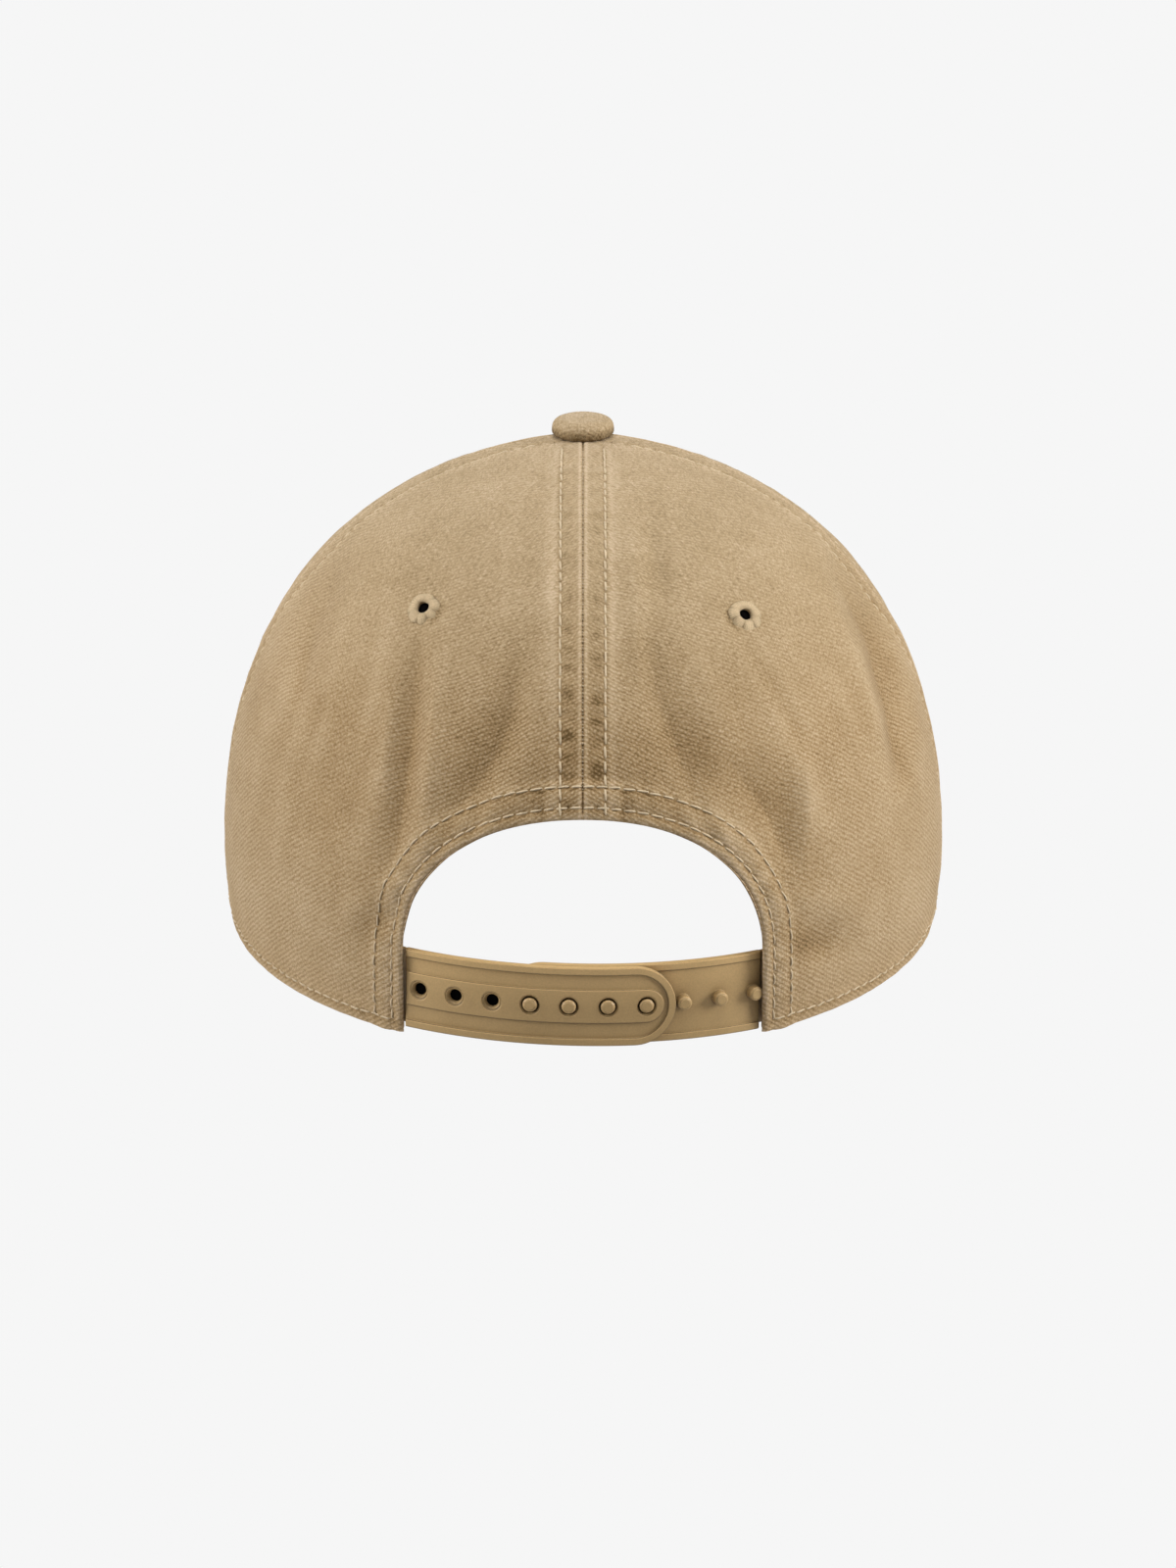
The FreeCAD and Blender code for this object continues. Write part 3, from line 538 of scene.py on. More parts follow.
PANELS = {
    "back_panel_left": Panel("back_panel_left", 0.0, SIDE_SEAM, True),
    "back_panel_right": Panel("back_panel_right", -SIDE_SEAM, 0.0, True),
    "side_panel_left": Panel("side_panel_left", SIDE_SEAM, FRONT_SEAM),
    "side_panel_right": Panel("side_panel_right", -FRONT_SEAM, -SIDE_SEAM),
    "front_panel": Panel("front_panel", FRONT_SEAM, 360.0 - FRONT_SEAM),
}


# Meshes


def place_piece(piece, body, node=None):
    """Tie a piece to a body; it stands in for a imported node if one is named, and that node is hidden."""
    if node:
        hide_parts(node)
    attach(piece, body)
    return piece


def make_object(name, points, faces, weave=None, tone=None):
    """Mesh object from points in millimetres, with a flat pattern map and a tone for the material."""
    mesh = bpy.data.meshes.new(name)
    mesh.vertices.add(len(points))
    mesh.vertices.foreach_set("co", (np.asarray(points, np.float32) * MM).ravel())
    faces = np.asarray(faces, np.int32)
    mesh.loops.add(faces.size)
    mesh.loops.foreach_set("vertex_index", faces.ravel())
    mesh.polygons.add(len(faces))
    size = faces.shape[1]
    mesh.polygons.foreach_set("loop_start", np.arange(0, faces.size, size, dtype=np.int32))
    mesh.polygons.foreach_set("use_smooth", np.full(len(faces), True))
    mesh.update(calc_edges=True)
    if weave is not None:
        layer = mesh.uv_layers.new(name="weave")
        layer.data.foreach_set("uv", (np.asarray(weave, np.float32)[faces.ravel()]).ravel())
    if tone is not None:
        layer = mesh.attributes.new("tone", "FLOAT", "POINT")
        layer.data.foreach_set("value", np.asarray(tone, np.float32))
    mesh.validate()
    piece = bpy.data.objects.new(name, mesh)
    bpy.context.scene.collection.objects.link(piece)
    return piece


def grid_faces(rows, columns, start=0, flip=False):
    """Quads of a grid whose points run row by row."""
    index = start + np.arange(rows * columns).reshape(rows, columns)
    quads = [index[:-1, :-1], index[:-1, 1:], index[1:, 1:], index[1:, :-1]]
    faces = np.stack(quads, -1).reshape(-1, 4)
    return faces[:, ::-1] if flip else faces


def ring_faces(rings, spins, closed=False):
    """Quads between rings of points; closed joins the last ring to the first."""
    index = np.arange(rings * spins).reshape(rings, spins)
    onward = np.roll(index, -1, axis=0)
    if not closed:
        index, onward = index[:-1], index[1:]
    quads = [index, np.roll(index, -1, axis=1), np.roll(onward, -1, axis=1), onward]
    return np.stack(quads, -1).reshape(-1, 4)


def sheet_faces(rows, columns):
    """Faces of a closed sheet: an outer grid, an inner grid after it, and the rim between."""
    count = rows * columns
    index = np.arange(count).reshape(rows, columns)
    loop = np.concatenate([index[0, :], index[1:, -1], index[-1, -2::-1], index[-2:0:-1, 0]])
    after = np.roll(loop, -1)
    rim = np.stack([after, loop, loop + count, after + count], 1)
    return np.concatenate([grid_faces(rows, columns), grid_faces(rows, columns, count, True), rim])


def sheet(name, outer, inner, weave, tone):
    """Closed sheet from two grids of points."""
    rows, columns = outer.shape[:2]
    points = np.concatenate([outer.reshape(-1, 3), inner.reshape(-1, 3)])
    maps = np.concatenate([weave.reshape(-1, 2)] * 2)
    tones = np.concatenate([tone.ravel(), tone.ravel() * 0.3])
    piece = make_object(name, points, sheet_faces(rows, columns), maps, tones)
    return outward(piece)


def outward(piece):
    """Turn a closed mesh's faces to point outwards."""
    mesh = piece.data
    points = np.zeros(len(mesh.vertices) * 3)
    mesh.vertices.foreach_get("co", points)
    points = points.reshape(-1, 3)
    corners = np.zeros(len(mesh.loops), np.int32)
    mesh.loops.foreach_get("vertex_index", corners)
    size = len(mesh.loops) // len(mesh.polygons)
    quads = points[corners.reshape(-1, size)]
    volume = np.einsum("ij,ij->i", quads[:, 0], np.cross(quads[:, 1], quads[:, 2])).sum()
    if size == 4:
        volume += np.einsum("ij,ij->i", quads[:, 0], np.cross(quads[:, 2], quads[:, 3])).sum()
    if volume < 0:
        mesh.flip_normals()
    return piece


SEAM_STEPS = [0.0, 0.14, 0.28, 0.44, 0.62, 0.85, 1.15, 1.5, 1.9, 2.35, 2.8, 3.3]
SEAM_STEPS += [3.8, 4.2, 4.6, 4.95, 5.3, 5.65, 6.0, 6.4, 6.9, 7.4, 8.0]


def graded(total, coarse):
    """Places from 0 to total, close together near both ends."""
    end = [total - s for s in reversed(SEAM_STEPS)]
    first, last = SEAM_STEPS[-1] + 0.6, end[0] - 0.6
    middle = np.linspace(first, last, max(2, int(round((last - first) / coarse)) + 1))
    return np.array(SEAM_STEPS + list(middle) + end)


EDGE_STEPS = np.array([0.0, 0.1, 0.25, 0.45, 0.7, 1.0, 1.4, 1.8, 2.2, 2.6, 3.0, 3.4, 3.8, 4.3])
EDGE_ROWS = np.concatenate([EDGE_STEPS, np.arange(4.9, 12.0, 0.55)])


PANEL_RISE, FINE_END, COARSE_STEP = 135.0, 12.4, 0.95


def row_shares():
    """Shares of the way up a panel, close together near its lower edge."""
    rest = np.linspace(FINE_END, PANEL_RISE, int((PANEL_RISE - FINE_END) / COARSE_STEP))
    return np.concatenate([EDGE_ROWS, rest]) / PANEL_RISE


def plain_grid(panel):
    """Angles and climbs of a panel that reaches down to the lower edge all along."""
    width = abs(float(round_distance(panel.last, panel.first, np.array(0.0))))
    places = graded(width, 1.0) / width
    angles = mix(panel.first, panel.last, places)[None, :]
    lengths = rise_length(panel.middle, APEX_CLIMB) * row_shares()[:, None]
    climbs = climb_at_length(panel.middle, lengths)
    return np.broadcast_arrays(angles, climbs)


def arched_grid(panel):
    """Grid whose first row follows the arch and then the lower edge, and whose last is at the apex."""
    corner_angle = float(ARCH_ANGLE[-1])
    hem_length = float(round_distance(SIDE_SEAM, corner_angle, np.array(0.0)))
    total = ARCH_LENGTHS[-1] + hem_length
    places = graded(total, 0.8)
    places[np.abs(places - ARCH_LENGTHS[-1]).argmin()] = ARCH_LENGTHS[-1]
    on_hem = np.clip((places - ARCH_LENGTHS[-1]) / hem_length, 0.0, 1.0)
    on_arch = places <= ARCH_LENGTHS[-1]
    hem_angle = mix(corner_angle, SIDE_SEAM, on_hem)
    low_angle = np.where(on_arch, np.interp(places, ARCH_LENGTHS, ARCH_ANGLE), hem_angle)
    low_climb = np.where(on_arch, np.interp(places, ARCH_LENGTHS, ARCH_CLIMB), -1.0)
    top_angle = SIDE_SEAM * places / total
    shares = row_shares()[:, None]
    angles = mix(low_angle, top_angle, shares**0.45)
    low_length = rise_length(panel.middle, low_climb)
    top_length = rise_length(panel.middle, APEX_CLIMB)
    climbs = climb_at_length(panel.middle, mix(low_length, top_length, shares))
    return (angles, climbs) if panel.side > 0 else (-angles, climbs)


def cloth_panel(panel):
    """The panel's cloth as a closed sheet with its relief."""
    angles, climbs = arched_grid(panel) if panel.arched else plain_grid(panel)
    found = panel.frame_of(angles, climbs)
    normal = crown_normal(angles, climbs)
    wall = drape(found["base"])
    outer_height = wall + panel.relief(found)
    under = -CLOTH - 0.9 * edge_roll(np.minimum(found["arch"], found["hem"]), 0.5)
    inner_height = np.minimum(wall + under, outer_height - 0.12)
    outer = raised(found["base"], normal, outer_height)
    inner = raised(found["base"], normal, inner_height)
    piece = sheet(panel.name + "_cloth", outer, inner, panel.weave(angles, climbs), panel.tone(found))
    return place_piece(piece, "crown", panel.name)


# Threads


def stitches(name, rows, seed, pitch=STITCH_PITCH, radius=0.23, lift=0.0, gap=0.4):
    """Rows of separate stitches along paths on the cloth, each a short bent thread."""
    random = np.random.RandomState(seed)
    rings, sides = 7, 6
    points, faces, total = [], [], 0
    for path, normal in rows:
        lengths = path_lengths(path)
        count = int(lengths[-1] // pitch)
        if count < 1:
            continue
        begin = np.arange(count) * pitch + gap / 2.0 + random.uniform(-0.12, 0.12, count)
        reach = (pitch - gap) * random.uniform(0.93, 1.05, count)
        share = np.array([0.0, 0.07, 0.25, 0.5, 0.75, 0.93, 1.0])
        where = begin[:, None] + reach[:, None] * share[None, :]
        centre = np.stack([np.interp(where, lengths, path[:, i]) for i in range(3)], -1)
        up = unit(np.stack([np.interp(where, lengths, normal[:, i]) for i in range(3)], -1))
        forward = unit(centre[:, -1:, :] - centre[:, :1, :]) + np.zeros_like(centre)
        beside = unit(np.cross(up, forward))
        arc = np.sin(math.pi * share) ** 0.45
        slant = random.uniform(0.02, 0.13, count)[:, None] * (share[None, :] - 0.5) * 2.0
        drift = random.uniform(-0.05, 0.05, count)[:, None]
        rise = -0.34 + (0.34 + lift) * arc + random.uniform(-0.05, 0.03, count)[:, None]
        centre = centre + up * rise[..., None] + beside * (slant + drift)[..., None]
        thick = radius * (0.72 + 0.28 * arc)[None, :, None, None]
        around = circle(sides)
        ring = beside[:, :, None, :] * np.cos(around)[None, None, :, None] * 1.12
        ring = ring + up[:, :, None, :] * np.sin(around)[None, None, :, None] * 0.88
        tube = centre[:, :, None, :] + ring * thick
        points.append(tube.reshape(-1, 3))
        index = total + np.arange(count * rings * sides).reshape(count, rings, sides)
        after = np.roll(index, -1, axis=2)
        quads = np.stack([index[:, :-1], after[:, :-1], after[:, 1:], index[:, 1:]], -1).reshape(-1, 4)
        for cap in (index[:, 0, ::-1], index[:, -1, :]):
            quads = np.concatenate([quads, cap[:, [0, 1, 2, 3]], cap[:, [0, 3, 4, 5]]])
        faces.append(quads)
        total += count * rings * sides
    piece = outward(make_object(name, np.concatenate(points), np.concatenate(faces)))
    return place_piece(piece, "crown")


def seam_row(panel, seam, away, low_length):
    """Path of a topstitch row beside a seam, on the finished cloth."""
    top = climb_at_length(seam, rise_length(seam, 0.93))
    low = climb_at_length(seam, low_length)
    climbs = np.linspace(low, top, 260)
    angles = angle_beside(seam, away, climbs)
    return panel.row_path(angles, climbs)


def arch_row(panel, away):
    """Path of a row beside the arch, from the centre seam to the lower edge."""
    places = ARCH_PATH + arch_outward() * away
    keep = (places[:, 0] >= 0.0) & (places[:, 2] > 1.5)
    angle, climb = locate(places[keep, 0], places[keep, 2])
    return panel.row_path(angle * panel.side, climb)


def hem_row(panel, first, last):
    """Path of the hem row between two angles."""
    angles = np.linspace(first, last, max(20, int(abs(last - first) * 3)))
    climbs = -1.0 + HEM_ROW / BAND_TOP + angles * 0.0
    return panel.row_path(angles, climbs)


def make_stitching():
    """All rows on the outside of the crown, and the fine threads down in the centre seam."""
    left, right = PANELS["back_panel_left"], PANELS["back_panel_right"]
    side_left, side_right = PANELS["side_panel_left"], PANELS["side_panel_right"]
    front = PANELS["front_panel"]
    arch_start = float(rise_length(0.0, ARCH_CLIMB[0]))
    seams = {
        "stitching_center_back": (arch_start + 0.8, ((left, 0.0, 1.0), (right, 0.0, -1.0))),
        "stitching_side_seams": (
            1.0,
            (
                (left, SIDE_SEAM, -1.0),
                (side_left, SIDE_SEAM, 1.0),
                (right, -SIDE_SEAM, 1.0),
                (side_right, -SIDE_SEAM, -1.0),
            ),
        ),
        "stitching_front_seams": (
            1.0,
            (
                (side_left, FRONT_SEAM, -1.0),
                (front, FRONT_SEAM, 1.0),
                (side_right, -FRONT_SEAM, 1.0),
                (front, 360.0 - FRONT_SEAM, -1.0),
            ),
        ),
    }
    groups = {}
    for name, (low_length, rows) in seams.items():
        groups[name] = [seam_row(panel, seam, way * SEAM_ROW, low_length) for panel, seam, way in rows]
    groups["stitching_arch"] = [arch_row(panel, away) for panel in (left, right) for away in ARCH_ROWS]
    corner = float(angle_beside(ARCH_ANGLE[-1], ARCH_ROWS[0], np.array(0.0)))
    visor_end = 180.0 - VISOR_HALF_ANGLE
    groups["stitching_hem"] = [
        hem_row(left, corner, SIDE_SEAM),
        hem_row(side_left, SIDE_SEAM, visor_end),
        hem_row(right, -corner, -SIDE_SEAM),
        hem_row(side_right, -SIDE_SEAM, -visor_end),
    ]
    sunk = {"stitching_side_seams": -0.16}
    pieces = []
    for seed, (name, rows) in enumerate(groups.items(), start=11):
        pieces.append(stitches(name, rows, seed, lift=sunk.get(name, 0.0)))
    ladder = [seam_row(left, 0.0, 0.02, arch_start + 7.0)]
    ladder_look = {"pitch": 0.92, "radius": 0.24, "lift": -0.05, "gap": 0.42}
    return pieces + [stitches("stitching_seam_ladder", ladder, 21, **ladder_look)]


# Layers inside the crown

TAPE_HALF, TAPE_ROW = 6.4, 5.3
TAPE_DEPTH, TAPE_THICK, BUCKRAM_THICK = 1.1, 0.4, 0.5
BAND_TALL, BAND_DEPTH, BAND_THICK, BAND_ROW = 32.0, 1.8, 1.0, 4.1
BAND_END_X, BAND_RADIUS = 54.0, 97.0
BUCKRAM_LOW, BUCKRAM_END_SHARE, BUCKRAM_CLEAR = 20.0, 0.2, 7.5


def lining(name, angles, climbs, depth, thick, weave, bulge=0.0, slot="seam_tape"):
    """Layer a depth below the crown's surface that follows its folds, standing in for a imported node."""
    base = crown(angles, climbs)
    normal = crown_normal(angles, climbs)
    wall = drape(base)
    uneven = 0.04 * ripple(base, FINE_WAVES, 7.0)
    inward = wall - depth - thick + bulge + uneven
    outer = raised(base, normal, wall - depth - 0.02)
    inner = raised(base, normal, np.minimum(inward, wall - depth - 0.1))
    tone = 0.3 * ripple(base, MIDDLE_WAVES, 18.0)
    return place_piece(sheet(name + "_layer", outer, inner, weave, tone), "crown", name)


def meridian_climbs(angle, low, high, step):
    """Evenly spaced climbs along one angle."""
    first, last = rise_length(angle, low), rise_length(angle, high)
    return climb_at_length(angle, np.linspace(first, last, max(4, int((last - first) / step))))


def woven(across, along):
    """Flat pattern places from two sets of lengths in millimetres."""
    return np.stack(np.broadcast_arrays(across, along), -1)


def climb_of_share(share):
    """Climb at which the crown has shrunk to a share of its full width."""
    return math.degrees(math.acos(share)) / 90.0


def make_tapes():
    """Woven tapes over the seams, bulged where they cover the folded seam edges."""
    seams = {
        "seam_tape_center_back": (0.0, 69.5, 0.14),
        "seam_tape_side_left": (SIDE_SEAM, 2.5, 0.14),
        "seam_tape_side_right": (-SIDE_SEAM, 2.5, 0.14),
        "seam_tape_front_left": (FRONT_SEAM, 3.5, 0.24),
        "seam_tape_front_right": (-FRONT_SEAM, 3.5, 0.24),
    }
    places = np.linspace(-TAPE_HALF, TAPE_HALF, 27)[None, :]
    beside = np.abs(places)
    bulge = -0.35 * bell(places, 0.0, 2.4) + 0.25 * bell(beside, TAPE_ROW, 0.6)
    bulge += 0.2 * bell(beside, TAPE_HALF, 0.5)
    stitch_rows = []
    pieces = []
    for name, (seam, low, end_share) in seams.items():
        first, last = float(climb_at_height(seam, low)), climb_of_share(end_share)
        climbs = meridian_climbs(seam, first, last, 1.0)[:, None]
        grid = np.broadcast_arrays(angle_beside(seam, places, climbs), climbs)
        weave = woven(places, rise_length(seam, climbs))
        pieces.append(lining(name, *grid, TAPE_DEPTH, TAPE_THICK, weave, bulge))
        for away in (-TAPE_ROW, TAPE_ROW):
            row_angles = angle_beside(seam, away, climbs[:, 0])
            stitch_rows.append(inner_row(row_angles, climbs[:, 0], TAPE_DEPTH + TAPE_THICK - 0.08))
    return pieces, stitch_rows


def inner_row(angle, climb, depth):
    """Path of a row on the inside of the crown, and the direction into the crown."""
    base, normal = crown(angle, climb), crown_normal(angle, climb)
    return raised(base, normal, drape(base) - depth), -normal


def make_sweatband():
    """Soft band round the inside of the lower edge, folded and stitched along its bottom."""
    up = np.concatenate([np.arange(0.0, 5.0, 0.4), np.linspace(5.0, BAND_TALL, 22)])[:, None]
    first = math.degrees(math.asin(BAND_END_X / HALF_WIDTH))
    angles = np.linspace(first, 360.0 - first, 420)[None, :]
    climbs = climb_at_height(angles, edge_height(angles) + 1.0 + up)
    around = np.radians(angles) * BAND_RADIUS
    puffed = -0.45 * bell(up, 0.9, 0.9) + 0.3 * bell(up, 3.1, 0.5)
    waves = 0.22 * np.sin(around * 0.35 + 1.7 * np.sin(around * 0.06)) * smooth(up, 1.0, 8.0)
    bulge = puffed + waves * 0.6 + 0.5 * bell(up, BAND_TALL, 0.8)
    grid = np.broadcast_arrays(angles, climbs)
    weave = woven(around, up)
    piece = lining("sweatband", *grid, BAND_DEPTH, BAND_THICK, weave, bulge, "sweatband_cloth")
    row_climbs = climb_at_height(angles[0], edge_height(angles[0]) + BAND_ROW)
    return piece, [inner_row(angles[0], row_climbs, BAND_DEPTH + BAND_THICK - 0.28)]


def make_buckram():
    """Open-weave stiffener behind the front panel."""
    first, last = float(climb_at_height(180.0, BUCKRAM_LOW)), climb_of_share(BUCKRAM_END_SHARE)
    climbs = meridian_climbs(180.0, first, last, 1.6)[:, None]
    reach = np.radians(180.0 - FRONT_SEAM) - BUCKRAM_CLEAR / (HALF_WIDTH * share_at(climbs))
    angles = 180.0 + np.degrees(reach) * np.linspace(-1.0, 1.0, 90)[None, :]
    weave = woven(round_distance(angles, 180.0, climbs), rise_length(180.0, climbs))
    grid = np.broadcast_arrays(angles, climbs)
    return lining("front_buckram", *grid, TAPE_DEPTH, BUCKRAM_THICK, weave, slot="buckram")


def make_facing():
    """Folded strip behind the arch, from its left foot over the top to its right foot."""
    away = np.concatenate([np.arange(0.35, 2.0, 0.3), np.linspace(2.0, 9.0, 16)])
    keep = ARCH_PATH[:, 2] > 0.6
    path, sideways = ARCH_PATH[keep], arch_outward()[keep]
    steps = np.arange(0, len(path), 2)
    spots = path[None, steps, :] + sideways[None, steps, :] * away[:, None, None]
    spots[..., 0] = np.maximum(spots[..., 0], 0.0)
    angle, climb = locate(spots[..., 0], spots[..., 2])
    angle = np.concatenate([angle[:, ::-1], -angle[:, 1:]], axis=1)
    climb = np.concatenate([climb[:, ::-1], climb[:, 1:]], axis=1)
    lengths = ARCH_LENGTHS[keep][steps]
    along = np.concatenate([-lengths[::-1], lengths[1:]])
    weave = woven(along[None, :], away[:, None])
    bulge = (-0.2 * bell(away, 5.2, 1.6) + 0.2 * bell(away, 8.9, 0.5))[:, None]
    return lining("opening_facing", angle, climb, TAPE_DEPTH, TAPE_THICK, weave, bulge)


# Eyelets and button

HOLE_OFF_CENTRE = 0.50
BUTTON_LOW, BUTTON_RADIUS = 120.35, 7.55


def frame_at(angle, climb):
    """Middle, outward direction and two sideways directions on the finished cloth, pits ignored."""
    base = crown(np.array(angle), np.array(climb))
    normal = crown_normal(np.array(angle), np.array(climb))
    up = unit(np.array([0.0, 0.0, 1.0]) - normal * normal[2])
    return base + normal * (drape(base) - 0.15), normal, np.cross(up, normal), up


def eyelet_place(angle, climb):
    """Frame of an eyelet, turned a little to face straight back where it is on the back."""
    middle, out, side, up = frame_at(angle, climb)
    if abs(angle) > SIDE_SEAM:
        return middle, out, side, up
    out = unit(out + np.array([0.0, 0.16, 0.02]))
    side = unit(side - out * np.dot(side, out))
    return middle - out * 0.02, out, side, np.cross(out, side)


def make_eyelet(name, angle, climb, seed):
    """Low ring of close embroidery threads round a hole, standing proud towards its lower inner side."""
    random = np.random.RandomState(seed)
    middle, out, side, up = eyelet_place(angle, climb)
    inner_way = -math.copysign(1.0, angle) * math.copysign(1.0, np.dot(side, [1.0, 0.0, 0.0]))
    spins, sides = 360, 32
    around = circle(spins)[:, None]
    section = circle(sides)[None, :]
    phases = random.uniform(0.0, 2.0 * math.pi, 6)
    sway = sum(np.sin(around * k + p) / (1.0 + 0.5 * k) for k, p in enumerate(phases, start=2))
    threads = np.abs(np.sin(around * 24.0 + 1.6 * sway + 0.5 * np.cos(section))) ** 0.7
    lobes = np.abs(np.sin(around * 3.5 + 0.5 * sway + phases[0])) ** 0.45
    proud = 0.5 + 0.5 * (np.cos(around) * inner_way * 0.75 - np.sin(around) * 0.66)
    share = 0.5 + 0.5 * np.cos(section)
    inside = np.maximum(-np.cos(section), 0.0)
    gap = (1.0 - lobes) * (0.15 + 0.85 * proud) * (0.2 + 0.8 * share)
    radius = mix(1.45 + 0.05 * sway, 4.32 - 0.45 * proud + 0.12 * sway - 0.75 * gap, share)
    arch = (1.0 - share**2.2) * (1.0 - (1.0 - share) ** 5)
    tall = 0.42 + 0.55 * proud
    under = 2.6 * np.sin(section) * (0.25 + 0.75 * inside)
    height = np.where(np.sin(section) > 0, tall * arch, under)
    upper = np.maximum(np.sin(section), 0.0) ** 0.5
    height = height + 0.11 * (threads - 0.6) * upper + (0.11 * sway - 0.42 * gap) * upper
    hole_shift = (1.0 - share) * HOLE_OFF_CENTRE
    x = radius * np.cos(around) * 1.06 - inner_way * hole_shift
    y = radius * np.sin(around) + hole_shift
    points = middle + x[..., None] * side + y[..., None] * up + height[..., None] * out
    weave = woven(around * 3.0, section * 1.4)
    # Paler thread ridges; painted shade in the gaps between lobes, down the hole's inner wall and at the
    # ring's outer edge.
    tone = 0.7 * (threads - 0.55) - 2.0 * gap - 0.8 * inside**2 - 0.7 * share**6
    faces = ring_faces(spins, sides, closed=True)
    ring = make_object(name + "_threads", points.reshape(-1, 3), faces, weave.reshape(-1, 2), tone.ravel())
    place_piece(outward(ring), "crown", name)
    # Painted shade: a near-black disc behind the eyelet's hole.
    spot = middle - out * 0.75 - side * inner_way * HOLE_OFF_CENTRE + up * HOLE_OFF_CENTRE
    shade = dark_disc(name + "_shade", spot, out, side, up, 2.2)
    return ring, place_piece(shade, "crown")


def dark_disc(name, middle, out, side, up, size):
    """Thin round plate behind a hole, which main paints near-black as painted shade for the hole's depth."""
    profile = ((-0.12, 0.01), (-0.12, 1.0), (0.0, 1.0), (0.02, 0.01))
    return turned(name, [(level, size * share) for level, share in profile], 40, middle, out, side, up)


def turned(name, profile, spins, middle, out, side, up, closed=False):
    """Round piece from a profile of (level along out, radius)."""
    around = circle(spins)
    turn = np.outer(np.cos(around), side) + np.outer(np.sin(around), up)
    rings = [middle + out * level + turn * radius for level, radius in profile]
    return outward(make_object(name, np.concatenate(rings), ring_faces(len(profile), spins, closed)))


def make_button():
    """Cloth-covered button: a flat top with a rounded side, gathered underneath."""
    random = np.random.RandomState(5)
    spins = 220
    tall = span("button_cover")[1][2] - BUTTON_LOW
    around = circle(spins)[None, :]
    bend = np.concatenate([np.linspace(0.0, 0.5, 34), np.linspace(0.5, 1.0, 22)[1:]])[:, None]
    turn = bend * math.pi
    shape = np.where(bend < 0.5, 2.0 / 5.2, 2.0 / 6.0)
    radius = BUTTON_RADIUS * np.maximum(np.sin(turn), 1e-4) ** shape
    cosine = np.cos(turn)
    level = np.sign(cosine) * np.abs(cosine) ** np.where(bend < 0.5, 2.0 / 2.4, 2.0 / 2.6)
    height = BUTTON_LOW + tall * np.where(level > 0, 0.46 + 0.54 * level, 0.46 + 0.46 * level)
    phases = random.uniform(0.0, 2.0 * math.pi, 5)
    sway = sum(np.sin(around * k + p) for k, p in enumerate(phases, start=1)) / 5.0
    pleats = 0.10 * np.sin(around * 17.0 + 2.0 * sway) * smooth(bend, 0.42, 0.6)
    radius = radius * (1.0 + 0.006 * sway) + pleats - 0.6 * smooth(bend, 0.9, 1.0)
    height = height + 0.07 * sway * (1.0 - bend) + 0.06 * np.sin(radius * 1.3 + sway * 3.0) * (bend < 0.4)
    x, y = radius * np.cos(around), radius * np.sin(around)
    points = np.stack([x, y, height + 0.0 * x], -1)
    arc = path_lengths(np.stack([radius.mean(axis=1), height.mean(axis=1)], -1))
    weave = np.stack([arc[:, None] * np.cos(around), arc[:, None] * np.sin(around)], -1)
    # Painted shade: darker down the button's side and underneath; a little random tone.
    tone = 0.2 - 2.2 * smooth(bend, 0.36, 0.56) - 1.6 * smooth(bend, 0.56, 0.74) + 0.25 * sway
    faces = ring_faces(len(bend), spins)
    points, weave = points.reshape(-1, 3), weave.reshape(-1, 2)
    piece = make_object("button_cover_cloth", points, faces, weave, tone.ravel())
    return place_piece(outward(piece), "crown", "button_cover")


# Visor

VISOR_HALF, VISOR_SIDE, VISOR_REACH, VISOR_POWER = 83.0, 55.0, 119.0, 2.0 / 2.4
FIRST_VISOR_ROW, VISOR_ROW_STEP = 4.5, 6.5
VISOR_ROWS = [FIRST_VISOR_ROW + VISOR_ROW_STEP * i for i in range(8)]
BOARD_HALF, VISOR_CLOTH = 1.0, 0.9
BOARD_SPREAD, BOARD_START = 0.93, 1.2


def visor(across, out):
    """Middle surface of the visor; across runs -1 to 1 round it and out 0 to 1 from the crown."""
    across, out = np.broadcast_arrays(np.asarray(across, float), np.asarray(out, float))
    inner = crown(180.0 - across * VISOR_HALF_ANGLE, -1.0 + 0.0 * across)
    clear = 1.0 - 0.4 / HALF_WIDTH
    turn = np.radians(90.0 * across)
    rim_x = np.sign(across) * VISOR_HALF * np.abs(np.sin(turn)) ** VISOR_POWER
    rim_y = -VISOR_SIDE - VISOR_REACH * np.abs(np.cos(turn)) ** VISOR_POWER
    start = inner[..., :2] * clear
    reach = np.stack([rim_x, rim_y], -1) - start
    place = start + reach * out[..., None]
    travel = np.linalg.norm(reach, axis=-1) * np.maximum(out, 0.0)
    sag = 24.0 * (place[..., 0] / VISOR_HALF) ** 2 * np.minimum(travel / 60.0, 1.2)
    height = inner[..., 2] - (BOARD_HALF + VISOR_CLOTH + 0.15) - 0.12 * travel - sag
    return np.concatenate([place, height[..., None]], -1)


def visor_normal(across, out):
    """Upward direction out of the visor's middle surface."""
    step = 0.002
    sideways = visor(across + step, out) - visor(across - step, out)
    onward = visor(across, out + step) - visor(across, out - step)
    normal = unit(np.cross(sideways, onward))
    return normal * np.sign(normal[..., 2:3])


def visor_reach(across):
    """Length of the visor from the crown to its rim."""
    return np.linalg.norm(visor(across, 1.0) - visor(across, 0.0), axis=-1)


